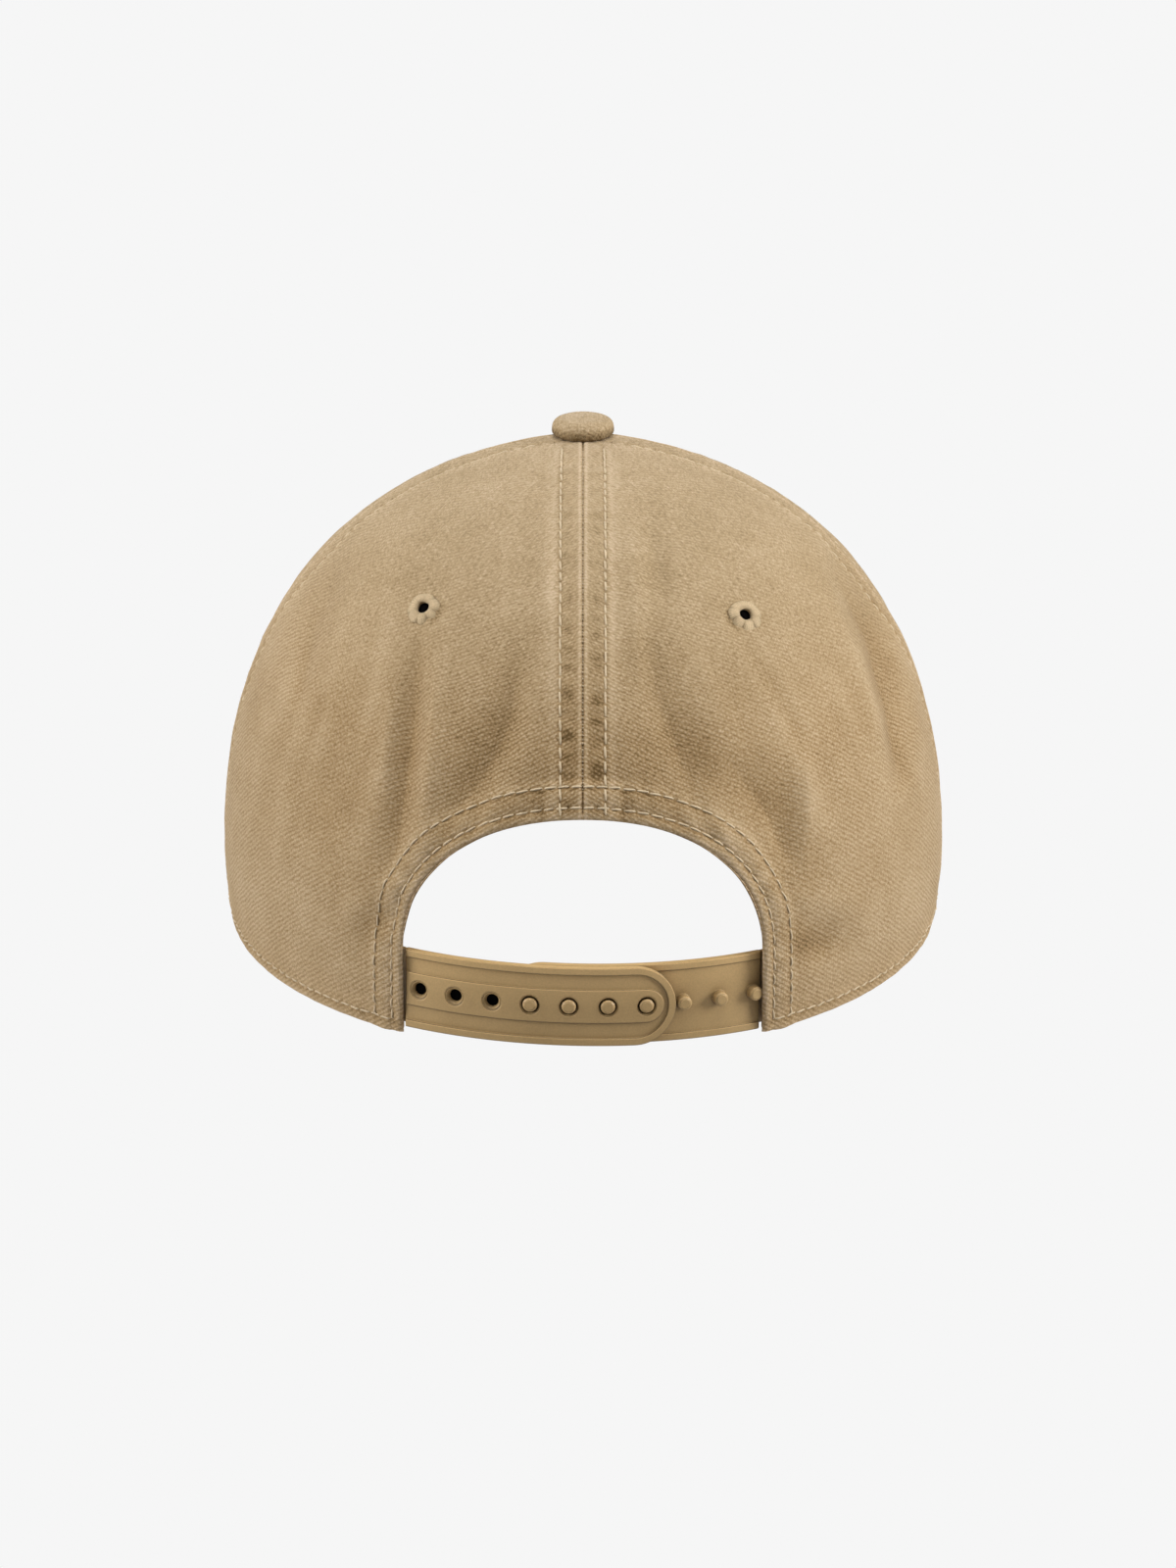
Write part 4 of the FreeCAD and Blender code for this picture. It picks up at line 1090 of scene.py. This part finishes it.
def visor_cover(name, side):
    """Cloth over or under the board, rolled to the rim and pressed down by its stitch rows."""
    widest, short = (0.996, 0.002) if side > 0.0 else (0.9952, 0.003)
    quarter = math.pi / 2.0 * 0.985
    across = np.sin(np.linspace(-1.0, 1.0, 330) * quarter)[None, :] / math.sin(quarter) * widest
    reach = visor_reach(across)
    fine = [0.0, 0.15, 0.35, 0.6, 0.9, 1.25, 1.7, 2.2, 2.8]
    near = np.concatenate([fine, np.linspace(3.5, 100.0, 128)]) / 100.0
    out = 1.0 - near[::-1, None] * 0.996 - short
    ends = (widest - np.abs(across)) * 60.0
    tucked = -np.array([2.0, 1.6, 1.2, 0.8, 0.3])[:, None] / reach * (0.1 + 0.9 * smooth(ends, 0.0, 5.0))
    out = np.concatenate([tucked, out + 0.0 * reach])
    rim = (1.0 - out) * reach
    inward = -out * reach
    curl = 2.6 * np.clip(inward / 2.0, 0.0, 1.0) ** 2 * (side < 0.0)
    rising = 0.72 * smooth(inward, -2.8, 0.5) + 0.5 * np.clip(inward / 2.0, 0.0, 1.0)
    curl = curl - rising * smooth(ends, 0.0, 8.0) * (side > 0.0)
    radius = np.minimum(2.4, 0.3 * reach)
    drop = np.clip(np.minimum(rim - short * reach, ends + 0.0 * rim) / radius, 0.0, 1.0)
    profile = np.sqrt(np.maximum(1.0 - (1.0 - drop) ** 2, 0.0))
    grooves = sum(bell(rim, row, 0.55) for row in VISOR_ROWS)
    phase = (rim - FIRST_VISOR_ROW) / VISOR_ROW_STEP * 2.0 * math.pi - math.pi
    puff = 0.13 * np.cos(phase) * (rim < 54.0) * (rim > 2.0)
    base, normal = visor(across, out), visor_normal(across, out) * side
    uneven = 0.10 * ripple(base, MIDDLE_WAVES, 34.0) + 0.05 * ripple(base, FINE_WAVES, 9.0)
    high = 0.12 + (BOARD_HALF + VISOR_CLOTH + 0.05 - 0.12) * profile
    relief = (uneven - 0.26 * grooves + puff) * profile
    low = -0.06 + (BOARD_HALF + 0.12) * profile - curl
    outer = raised(base, normal, np.maximum(high + relief - curl, low + 0.15))
    inner = raised(base, normal, low)
    weave = base[..., :2]
    # Painted shade in the grooves of the stitch rows; paler along the rolled rim; random tone.
    tone = 0.25 * ripple(base, MIDDLE_WAVES, 26.0) - 0.5 * grooves + 0.9 * bell(rim, 0.4, 1.3)
    return place_piece(sheet(name + "_cloth", outer, inner, weave, tone), "crown", name)


def make_board():
    """Stiff board between the covers, kept clear of the rolled rim, with rounded edges."""
    across = np.sin(np.linspace(-1.0, 1.0, 160) * math.pi / 2.0)[None, :] * BOARD_SPREAD
    reach = visor_reach(across)
    inset = np.minimum(2.7, 0.28 * reach)
    fine_start, fine_end = [0.0, 0.004, 0.012, 0.025], [0.975, 0.988, 0.996, 1.0]
    steps = np.concatenate([fine_start, np.linspace(0.05, 0.95, 40), fine_end])[:, None]
    out = (BOARD_START + (reach - inset - BOARD_START) * steps) / reach
    onward = np.minimum(steps, 1.0 - steps) * (reach - inset)
    edge = np.minimum(onward, (BOARD_SPREAD - np.abs(across)) * 60.0)
    rounding = 1.0 - (1.0 - np.clip(edge / 0.9, 0.0, 1.0)) ** 2
    half = (BOARD_HALF - 0.04) * np.sqrt(np.clip(rounding, 0.02, 1.0))
    base, normal = visor(across, out), visor_normal(across, out)
    top, bottom = raised(base, normal, half), raised(base, normal, -half)
    piece = sheet("visor_board_core", top, bottom, base[..., :2], out * 0.0)
    return place_piece(piece, "crown", "visor_board")


def visor_rows(side):
    """Paths of the rows that run round the visor, on its top (1) or bottom (-1)."""
    rows = []
    for away in VISOR_ROWS:
        across = np.linspace(-0.97, 0.97, 700)
        out = 1.0 - away / visor_reach(across)
        keep = out > 0.03
        across, out = across[keep], out[keep]
        normal = visor_normal(across, out) * side
        rows.append((visor(across, out) + normal * (BOARD_HALF + VISOR_CLOTH - 0.18), normal))
    return rows


def make_visor():
    """Both covers and their rows of stitches."""
    covers, threads = [], []
    for name, side, seed in (("top", 1.0, 31), ("bottom", -1.0, 32)):
        covers.append(visor_cover(f"visor_{name}_cover", side))
        threads.append(stitches(f"stitching_visor_{name}", visor_rows(side), seed))
    return covers, threads


# Strap


STRAP_CENTRE_Y, STRAP_MIDDLE_Z, STRAP_TILT = 15.6, 11.3, math.radians(1.0)
FIRST_HOLE, HOLE_STEP, HOLE_BACK, HOLE_RADIUS = 26.6, 6.105, 84.62, 2.14
EMPTY_HOLES = 3


def strap_place(angle, radius):
    """Point on the strap's middle arc: angle from straight back and radius about its centre."""
    turn = math.radians(angle)
    x, y = radius * math.sin(turn), radius * math.cos(turn)
    level, rise = x * math.cos(STRAP_TILT), x * math.sin(STRAP_TILT)
    return np.array([level, STRAP_CENTRE_Y + y, STRAP_MIDDLE_Z + rise])


def hole_shades():
    """Sloping walls and dark discs in the three empty holes of the strap; the discs are painted shade."""
    pieces = []
    for i in range(EMPTY_HOLES):
        angle = FIRST_HOLE - HOLE_STEP * i
        middle = strap_place(angle, HOLE_BACK)
        out = unit(strap_place(angle, HOLE_BACK + 1.0) - middle)
        side = unit(np.cross(np.array([0.0, 0.0, 1.0]), out))
        up = np.cross(out, side)
        # Painted shade: a near-black disc behind the hole.
        shade = dark_disc(f"hole_shade_{i + 1}", middle, out, side, up, HOLE_RADIUS)
        sleeve = hole_sleeve(f"hole_sleeve_{i + 1}", middle, out, side, up)
        pieces.append([place_piece(piece, "strap_left") for piece in (shade, sleeve)])
    return pieces


def hole_sleeve(name, middle, out, side, up):
    """Sloping wall of an empty strap hole, wide outside and narrow at the back."""
    profile = ((0.08, 2.19), (0.08, 1.42), (0.30, 1.48), (1.00, 1.98), (1.14, 2.12), (1.10, 2.19))
    return turned(name, profile, 56, middle, out, side, up, closed=True)


# Materials


def linear(red, green, blue):
    """Colour of a material from a familiar 0 to 255 shade."""
    parts = [c / 255.0 for c in (red, green, blue)]
    return tuple(p / 12.92 if p <= 0.04045 else ((p + 0.055) / 1.055) ** 2.4 for p in parts) + (1.0,)


KHAKI = linear(179, 154, 117)
THREAD = linear(214, 194, 161)
RING = linear(205, 181, 143)
STRAP = linear(184, 154, 107)
TAPE = linear(150, 126, 94)
BAND = linear(168, 143, 108)
STIFFENER = linear(206, 198, 178)
BOARD = linear(222, 222, 214)
BACKDROP = linear(246, 246, 246)
WHITE = (1.0, 1.0, 1.0, 1.0)
# Tints of the cloth: WARM_LOW for its darker parts, painted shade among them; WARM_HEM for its lowest parts;
# COOL_HIGH a painted sheen high on the cap.
WARM_LOW, WARM_HEM = (1.04, 0.955, 0.85, 1.0), (0.985, 0.935, 0.86, 1.0)
COOL_HIGH = (0.985, 1.0, 1.02, 1.0)


def shade_scaled(shade, light, warmth):
    """A darker or lighter version of a shade; warmth above 1 makes it more yellow."""
    scales = (light, light / warmth**0.25, light / warmth)
    return tuple(min(part * scale, 1.0) for part, scale in zip(shade, scales)) + (1.0,)


class Nodes:
    """Short way to build a material's node tree."""

    def __init__(self, name):
        self.material = bpy.data.materials.new(name)
        self.material.use_nodes = True
        self.tree = self.material.node_tree
        self.shader = self.tree.nodes["Principled BSDF"]

    def add(self, kind, inputs=None, **settings):
        node = self.tree.nodes.new(kind)
        for name, value in settings.items():
            setattr(node, name, value)
        for name, value in (inputs or {}).items():
            self.set(node.inputs[name], value)
        return node

    def set(self, socket, value):
        if isinstance(value, bpy.types.NodeSocket):
            self.tree.links.new(value, socket)
        elif isinstance(value, bpy.types.Node):
            self.tree.links.new(value.outputs[0], socket)
        else:
            socket.default_value = value

    def math(self, operation, *values):
        return self.add("ShaderNodeMath", dict(enumerate(values)), operation=operation).outputs[0]

    def plus(self, first, second):
        return self.math("ADD", first, second)

    def minus(self, first, second):
        return self.math("SUBTRACT", first, second)

    def times(self, first, second):
        return self.math("MULTIPLY", first, second)

    def wave(self, turns, height=0.5, middle=0.5):
        """Sine wave of a number of turns."""
        sine = self.math("SINE", self.times(turns, 2.0 * math.pi))
        return self.math("MULTIPLY_ADD", sine, height, middle)

    def noise(self, place, scale, detail=3.0, rough=0.55):
        inputs = {"Vector": place, "Scale": scale, "Detail": detail, "Roughness": rough}
        return self.add("ShaderNodeTexNoise", inputs).outputs["Fac"]

    def blend(self, share, first, second, kind="MIX"):
        node = self.add("ShaderNodeMix", data_type="RGBA", blend_type=kind)
        for socket, value in ((node.inputs[0], share), (node.inputs[6], first), (node.inputs[7], second)):
            self.set(socket, value)
        return node.outputs[2]

    def ramp(self, value, low, high, to_low=0.0, to_high=1.0):
        return self.add("ShaderNodeMapRange", {0: value, 1: low, 2: high, 3: to_low, 4: to_high}).outputs[0]

    def bump(self, height, strength, depth, **inputs):
        """Fine relief of a depth in millimetres."""
        inputs.update(Height=height, Strength=strength, Distance=depth * MM)
        return self.add("ShaderNodeBump", inputs).outputs[0]

    def split(self, direction):
        """The three parts of a direction or place."""
        return self.add("ShaderNodeSeparateXYZ", {0: direction}).outputs

    def solid(self):
        """Place in the world, for variation that ignores the weave."""
        return self.add("ShaderNodeNewGeometry").outputs["Position"]

    def weave(self):
        return self.add("ShaderNodeUVMap", uv_map="weave").outputs[0]

    def tone(self):
        return self.add("ShaderNodeAttribute", attribute_name="tone").outputs["Fac"]

    def finish(self, **inputs):
        for name, value in inputs.items():
            self.set(self.shader.inputs[name.replace("_", " ")], value)
        return self.material


def twill(name, shade, pitch=1.05, slope=33.0):
    """Washed cotton twill: diagonal ribs of short floats, paler on ridges from wear together with a painted
    highlight, and with painted shade in folds through the tone; cloth high on the cap is painted paler and
    cooler as a painted sheen.
    """
    n = Nodes(name)
    weave, solid = n.weave(), n.solid()
    across, along, _ = n.split(weave)
    wander = n.minus(n.noise(weave, 0.22, 2.0), 0.5)
    jitter = n.minus(n.noise(weave, 1.3, 2.0), 0.5)
    sine, cosine = math.sin(math.radians(slope)), math.cos(math.radians(slope))
    rib = n.plus(n.times(across, sine), n.times(along, cosine))
    rib = n.plus(n.plus(rib, n.times(wander, 1.3)), n.times(jitter, 0.55))
    run = n.minus(n.times(along, sine), n.times(across, cosine))
    turns = n.math("DIVIDE", rib, pitch)
    floats = n.plus(n.math("DIVIDE", run, 0.9), n.times(n.math("FLOOR", turns), 0.37))
    yarn = n.times(n.wave(turns), n.wave(floats, 0.30, 0.70))
    fuzz = n.noise(weave, 2.6, 3.0, 0.75)
    specks = n.noise(weave, 1.1, 2.0, 0.6)
    streak_map = n.add("ShaderNodeMapping", {"Vector": weave, "Scale": (2.2, 0.22, 1.0)})
    streaks = n.noise(streak_map, 1.0, 3.0, 0.6)
    mottle = n.noise(solid, 95.0, 4.0, 0.65)
    cloud = n.noise(solid, 26.0, 3.0, 0.6)
    height_above = n.split(solid)[2]
    # Higher up the cap the cloth shows its fine streaks and is drawn a little paler and cooler, a painted
    # sheen.
    upper = n.ramp(height_above, 0.070, 0.108)
    show = n.times(n.ramp(cloud, 0.35, 0.68, 0.6, 1.2), n.ramp(upper, 0.0, 1.0, 1.0, 0.45))
    weights = (
        (n.times(n.minus(yarn, 0.40), show), 0.46),
        (n.minus(fuzz, 0.5), 1.28),
        (n.minus(specks, 0.5), 1.05),
        (n.times(n.minus(streaks, 0.5), upper), 0.80),
        (n.minus(mottle, 0.5), 0.36),
        (n.minus(cloud, 0.5), 0.10),
        (upper, 0.06),
        (n.tone(), 0.23),
    )
    level = 1.0
    for part, weight in weights:
        level = n.math("MULTIPLY_ADD", part, weight, level)
    # Lit and shaded copies of the khaki: darker level, which also carries the painted shade of the tone,
    # turns deeper and warmer.
    pale = n.blend(n.ramp(level, 1.0, 1.5), shade, shade_scaled(shade, 1.42, 0.78))
    deep = n.blend(n.ramp(level, 0.30, 1.0), shade_scaled(shade, 0.30, 1.35), pale)
    # Painted sheen: cooler tint high on the cap; darker cloth tinted warmer; lowest parts take the hem tint.
    glow = n.blend(upper, n.blend(n.ramp(level, 0.72, 1.04), WARM_LOW, WHITE), COOL_HIGH)
    glow = n.blend(n.ramp(height_above, -0.002, 0.014, 1.0, 0.0), glow, WARM_HEM)
    return n.finish(
        Base_Color=n.blend(1.0, deep, glow, "MULTIPLY"),
        Roughness=n.ramp(yarn, 0.0, 1.0, 0.97, 0.88),
        Normal=n.bump(n.plus(n.times(yarn, 0.8), n.times(fuzz, 0.7)), 0.6, 0.16),
        Sheen_Weight=0.10,
        Sheen_Roughness=0.5,
        Specular_IOR_Level=0.10,
    )


def plain_weave(name, shade, pitch, depth, open_weave=0.0):
    """Plain over-and-under weave for tape, lining band and stiffener."""
    n = Nodes(name)
    weave = n.weave()
    across, along, _ = n.split(weave)
    jitter = n.times(n.minus(n.noise(weave, 0.9, 2.0), 0.5), 0.5)
    turns = [n.math("DIVIDE", n.plus(part, jitter), pitch) for part in (across, along)]
    yarn = n.math("MULTIPLY_ADD", n.times(n.wave(turns[0], 1.0, 0.0), n.wave(turns[1], 1.0, 0.0)), 0.5, 0.5)
    fuzz = n.noise(weave, 3.0, 3.0, 0.7)
    cloud = n.noise(n.solid(), 40.0, 3.0)
    level = n.plus(n.times(yarn, 0.30 + open_weave), n.times(fuzz, 0.35))
    level = n.plus(level, n.times(cloud, 0.35))
    dim, pale = shade_scaled(shade, 0.66, 1.08), shade_scaled(shade, 1.20, 0.96)
    base = n.blend(n.ramp(level, 0.25, 0.75), dim, pale)
    bump = n.bump(n.plus(yarn, n.times(fuzz, 0.5)), 0.6, depth)
    return n.finish(Base_Color=base, Roughness=0.93, Normal=bump, Sheen_Weight=0.15)


def dark_material(name):
    """Near-black painted shade for the depth of a hole."""
    n = Nodes(name)
    fine = n.noise(n.solid(), 1200.0, 2.0)
    base = n.blend(fine, (0.002, 0.002, 0.002, 1.0), (0.006, 0.005, 0.005, 1.0))
    return n.finish(Base_Color=base, Roughness=1.0, Specular_IOR_Level=0.0)


def brushed_metal(name):
    """Dull metal of the button core and its tack."""
    n = Nodes(name)
    fine = n.noise(n.solid(), 1500.0, 3.0)
    base = n.blend(fine, (0.42, 0.41, 0.39, 1.0), (0.62, 0.61, 0.58, 1.0))
    return n.finish(Base_Color=base, Metallic=0.9, Roughness=n.ramp(fine, 0.3, 0.7, 0.32, 0.48))


def thread_material(name, shade):
    """Twisted cotton thread, darker where its tone is below 0; on the eyelet rings that tone holds painted
    shade.
    """
    n = Nodes(name)
    place = n.solid()
    fine = n.noise(place, 2600.0, 2.0)
    tint = n.noise(place, 240.0, 2.0)
    level = n.plus(n.ramp(fine, 0.3, 0.7, -0.12, 0.12), n.ramp(tint, 0.3, 0.7, 0.92, 1.08))
    level = n.math("MULTIPLY_ADD", n.tone(), 0.30, level)
    pale = n.blend(n.ramp(level, 0.8, 1.2), shade_scaled(shade, 0.78, 1.05), shade_scaled(shade, 1.18, 0.97))
    base = n.blend(n.ramp(level, 0.1, 0.85), shade_scaled(shade, 0.30, 1.25), pale)
    return n.finish(Base_Color=base, Roughness=0.72, Normal=n.bump(fine, 0.4, 0.06), Sheen_Weight=0.15)


def plastic_material(name, shade):
    """Soft moulded plastic: satin, faint flow marks, painted highlight on edges that turn upward and painted
    shade on those that turn downward, higher parts painted lighter, and painted shade where other parts come
    close.
    """
    n = Nodes(name)
    place = n.add("ShaderNodeTexCoord").outputs["Object"]
    fine = n.noise(place, 900.0, 3.0)
    grain = n.noise(place, 2600.0, 2.0)
    cloud = n.noise(place, 45.0, 3.0)
    base = n.blend(n.ramp(cloud, 0.3, 0.7), shade_scaled(shade, 0.92, 1.03), shade_scaled(shade, 1.06, 0.99))
    soft = n.add("ShaderNodeBevel", {"Radius": 0.38 * MM}, samples=6)
    flat = n.add("ShaderNodeNewGeometry").outputs["Normal"]
    # Painted highlight on edges that turn upward, painted shade on edges that turn downward.
    edge = n.ramp(n.minus(n.split(soft)[2], n.split(flat)[2]), -0.20, 0.20, 0.52, 1.55)
    # Painted shade where other surfaces come close.
    near = n.add("ShaderNodeAmbientOcclusion", {"Distance": 3.5 * MM}, samples=6).outputs["AO"]
    # Painted light: the higher part of the piece is drawn lighter.
    lit = n.times(edge, n.ramp(n.split(place)[2], 11.0 * MM, 19.0 * MM, 1.0, 1.24))
    lit = n.times(lit, n.ramp(grain, 0.3, 0.7, 0.93, 1.07))
    lit = n.times(lit, n.ramp(near, 0.35, 0.95, 0.55, 1.04))
    grey = n.add("ShaderNodeCombineXYZ", {0: lit, 1: lit, 2: lit})
    return n.finish(
        Base_Color=n.add("ShaderNodeVectorMath", {0: base, 1: grey}, operation="MULTIPLY"),
        Roughness=n.ramp(fine, 0.3, 0.7, 0.40, 0.54),
        Normal=n.bump(fine, 0.12, 0.05, Normal=soft),
        Specular_IOR_Level=0.45,
    )


# Stage


CAMERA_ELEVATION, CAMERA_DISTANCE = math.radians(19.4), 1.4
AIM = Vector((-0.00122, 0.0, 0.0307))
FRAME_HEIGHT, SENSOR_WIDTH = 0.390244, 36.0
FLOOR_HALF, FLOOR_Z = 6000.0, -520.0
LIGHT_AIM, LIGHT_SHADE = Vector((0.0, 0.0, 0.06)), (1.0, 0.995, 0.985)
LIGHTS = {
    "right": ((-1.45, 0.25, 0.60), 0.9, 20.2),
    "left": ((1.45, 0.25, 0.60), 0.9, 17.4),
    "top": ((-0.1, 0.30, 1.60), 1.0, 12.4),
    "behind_camera": ((-0.3, 1.9, 0.9), 0.9, 1.6),
    "front": ((0.4, -1.7, 0.9), 1.3, 11.0),
}


def split_by_ray(owner, output_kind, lit_kind, lit_shade, seen_kind):
    """Node tree that lights the scene with one shader while the camera sees the plain backdrop."""
    owner.use_nodes = True
    tree = owner.node_tree
    tree.nodes.clear()
    output = tree.nodes.new(output_kind)
    lit, seen = tree.nodes.new(lit_kind), tree.nodes.new(seen_kind)
    lit.inputs[0].default_value = lit_shade
    seen.inputs[0].default_value = BACKDROP
    path = tree.nodes.new("ShaderNodeLightPath")
    choose = tree.nodes.new("ShaderNodeMixShader")
    tree.links.new(path.outputs["Is Camera Ray"], choose.inputs[0])
    tree.links.new(lit.outputs[0], choose.inputs[1])
    tree.links.new(seen.outputs[0], choose.inputs[2])
    tree.links.new(choose.outputs[0], output.inputs[0])
    return lit


def make_stage():
    """Even pale backdrop, faint light from all round, and a pale floor."""
    scene = bpy.context.scene
    scene.view_settings.view_transform = "Standard"
    scene.view_settings.look = "None"
    scene.world = bpy.data.worlds.new("studio")
    sky, sky_shade = "ShaderNodeBackground", (1.0, 0.985, 0.96, 1.0)
    split_by_ray(scene.world, "ShaderNodeOutputWorld", sky, sky_shade, sky).inputs[1].default_value = 0.11
    corners = [(-FLOOR_HALF, -FLOOR_HALF), (FLOOR_HALF, -FLOOR_HALF)]
    corners += [(FLOOR_HALF, FLOOR_HALF), (-FLOOR_HALF, FLOOR_HALF)]
    floor = make_object("floor", [(x, y, FLOOR_Z) for x, y in corners], [[0, 1, 2, 3]])
    pale = bpy.data.materials.new("pale_floor")
    grey = (0.62, 0.61, 0.60, 1.0)
    split_by_ray(pale, "ShaderNodeOutputMaterial", "ShaderNodeBsdfDiffuse", grey, "ShaderNodeEmission")
    floor.data.materials.append(pale)


def place_aimed(name, data, place, aim):
    """Add a lamp or camera to the scene, turned towards a place."""
    thing = bpy.data.objects.new(name, data)
    bpy.context.scene.collection.objects.link(thing)
    thing.location = place
    thing.rotation_euler = (aim - thing.location).to_track_quat("-Z", "Y").to_euler()
    return thing


def make_lights():
    """Two big side lights, one overhead, a weak one behind the camera and one in front of the cap."""
    for name, (place, size, power) in LIGHTS.items():
        data = bpy.data.lights.new(name, "AREA")
        data.shape = "DISK"
        data.size = size
        data.energy = power
        data.color = LIGHT_SHADE
        place_aimed(name, data, place, LIGHT_AIM)


def make_camera():
    """Camera straight behind the cap, a little above it."""
    data = bpy.data.cameras.new("camera")
    data.sensor_width = SENSOR_WIDTH
    data.sensor_fit = "AUTO"
    data.lens = SENSOR_WIDTH * CAMERA_DISTANCE / FRAME_HEIGHT
    data.clip_start, data.clip_end = 0.05, 50.0
    back, rise = math.cos(CAMERA_ELEVATION), math.sin(CAMERA_ELEVATION)
    place = AIM + Vector((0.0, back, rise)) * CAMERA_DISTANCE
    bpy.context.scene.camera = place_aimed("camera", data, place, AIM)


def paint(pieces, material):
    """Give pieces one material in place of any other."""
    for piece in pieces:
        piece.data.materials.clear()
        piece.data.materials.append(material)


def main():
    cloth = twill("washed_twill", KHAKI)
    thread = thread_material("stitching_thread", THREAD)
    tape = plain_weave("woven_tape", TAPE, 0.8, 0.10)
    band = plain_weave("band_cloth", BAND, 0.55, 0.06)
    hard = {"strap": plastic_material("strap_plastic", STRAP), "button": brushed_metal("button_metal")}
    for name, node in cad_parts.items():
        start = name.split("_")[0]
        if start in hard:
            paint([node], hard[start])
    paint([cloth_panel(panel) for panel in PANELS.values()], cloth)
    covers, visor_threads = make_visor()
    paint(covers, cloth)
    paint([make_board()], plastic_material("board_plastic", BOARD))
    paint([make_button()], twill("button_twill", KHAKI, pitch=1.0, slope=12.0))
    tapes, tape_rows = make_tapes()
    sweatband, band_rows = make_sweatband()
    paint(tapes + [make_facing()], tape)
    paint([sweatband], band)
    paint([make_buckram()], plain_weave("open_stiffener", STIFFENER, 1.3, 0.25, 0.4))
    eyelets = [make_eyelet(name, *place, 40 + i) for i, (name, place) in enumerate(EYELETS.items())]
    paint([ring for ring, _ in eyelets], thread_material("ring_thread", RING))
    inside = [stitches("stitching_tapes", tape_rows, 33), stitches("stitching_sweatband", band_rows, 34)]
    paint(make_stitching() + visor_threads + inside, thread)
    holes = hole_shades()
    # Painted shade: near-black discs behind the strap's empty holes and the eyelets.
    paint([shade for shade, _ in holes] + [shade for _, shade in eyelets], dark_material("hole_shade"))
    paint([sleeve for _, sleeve in holes], hard["strap"])
    make_stage()
    make_lights()
    make_camera()


main()
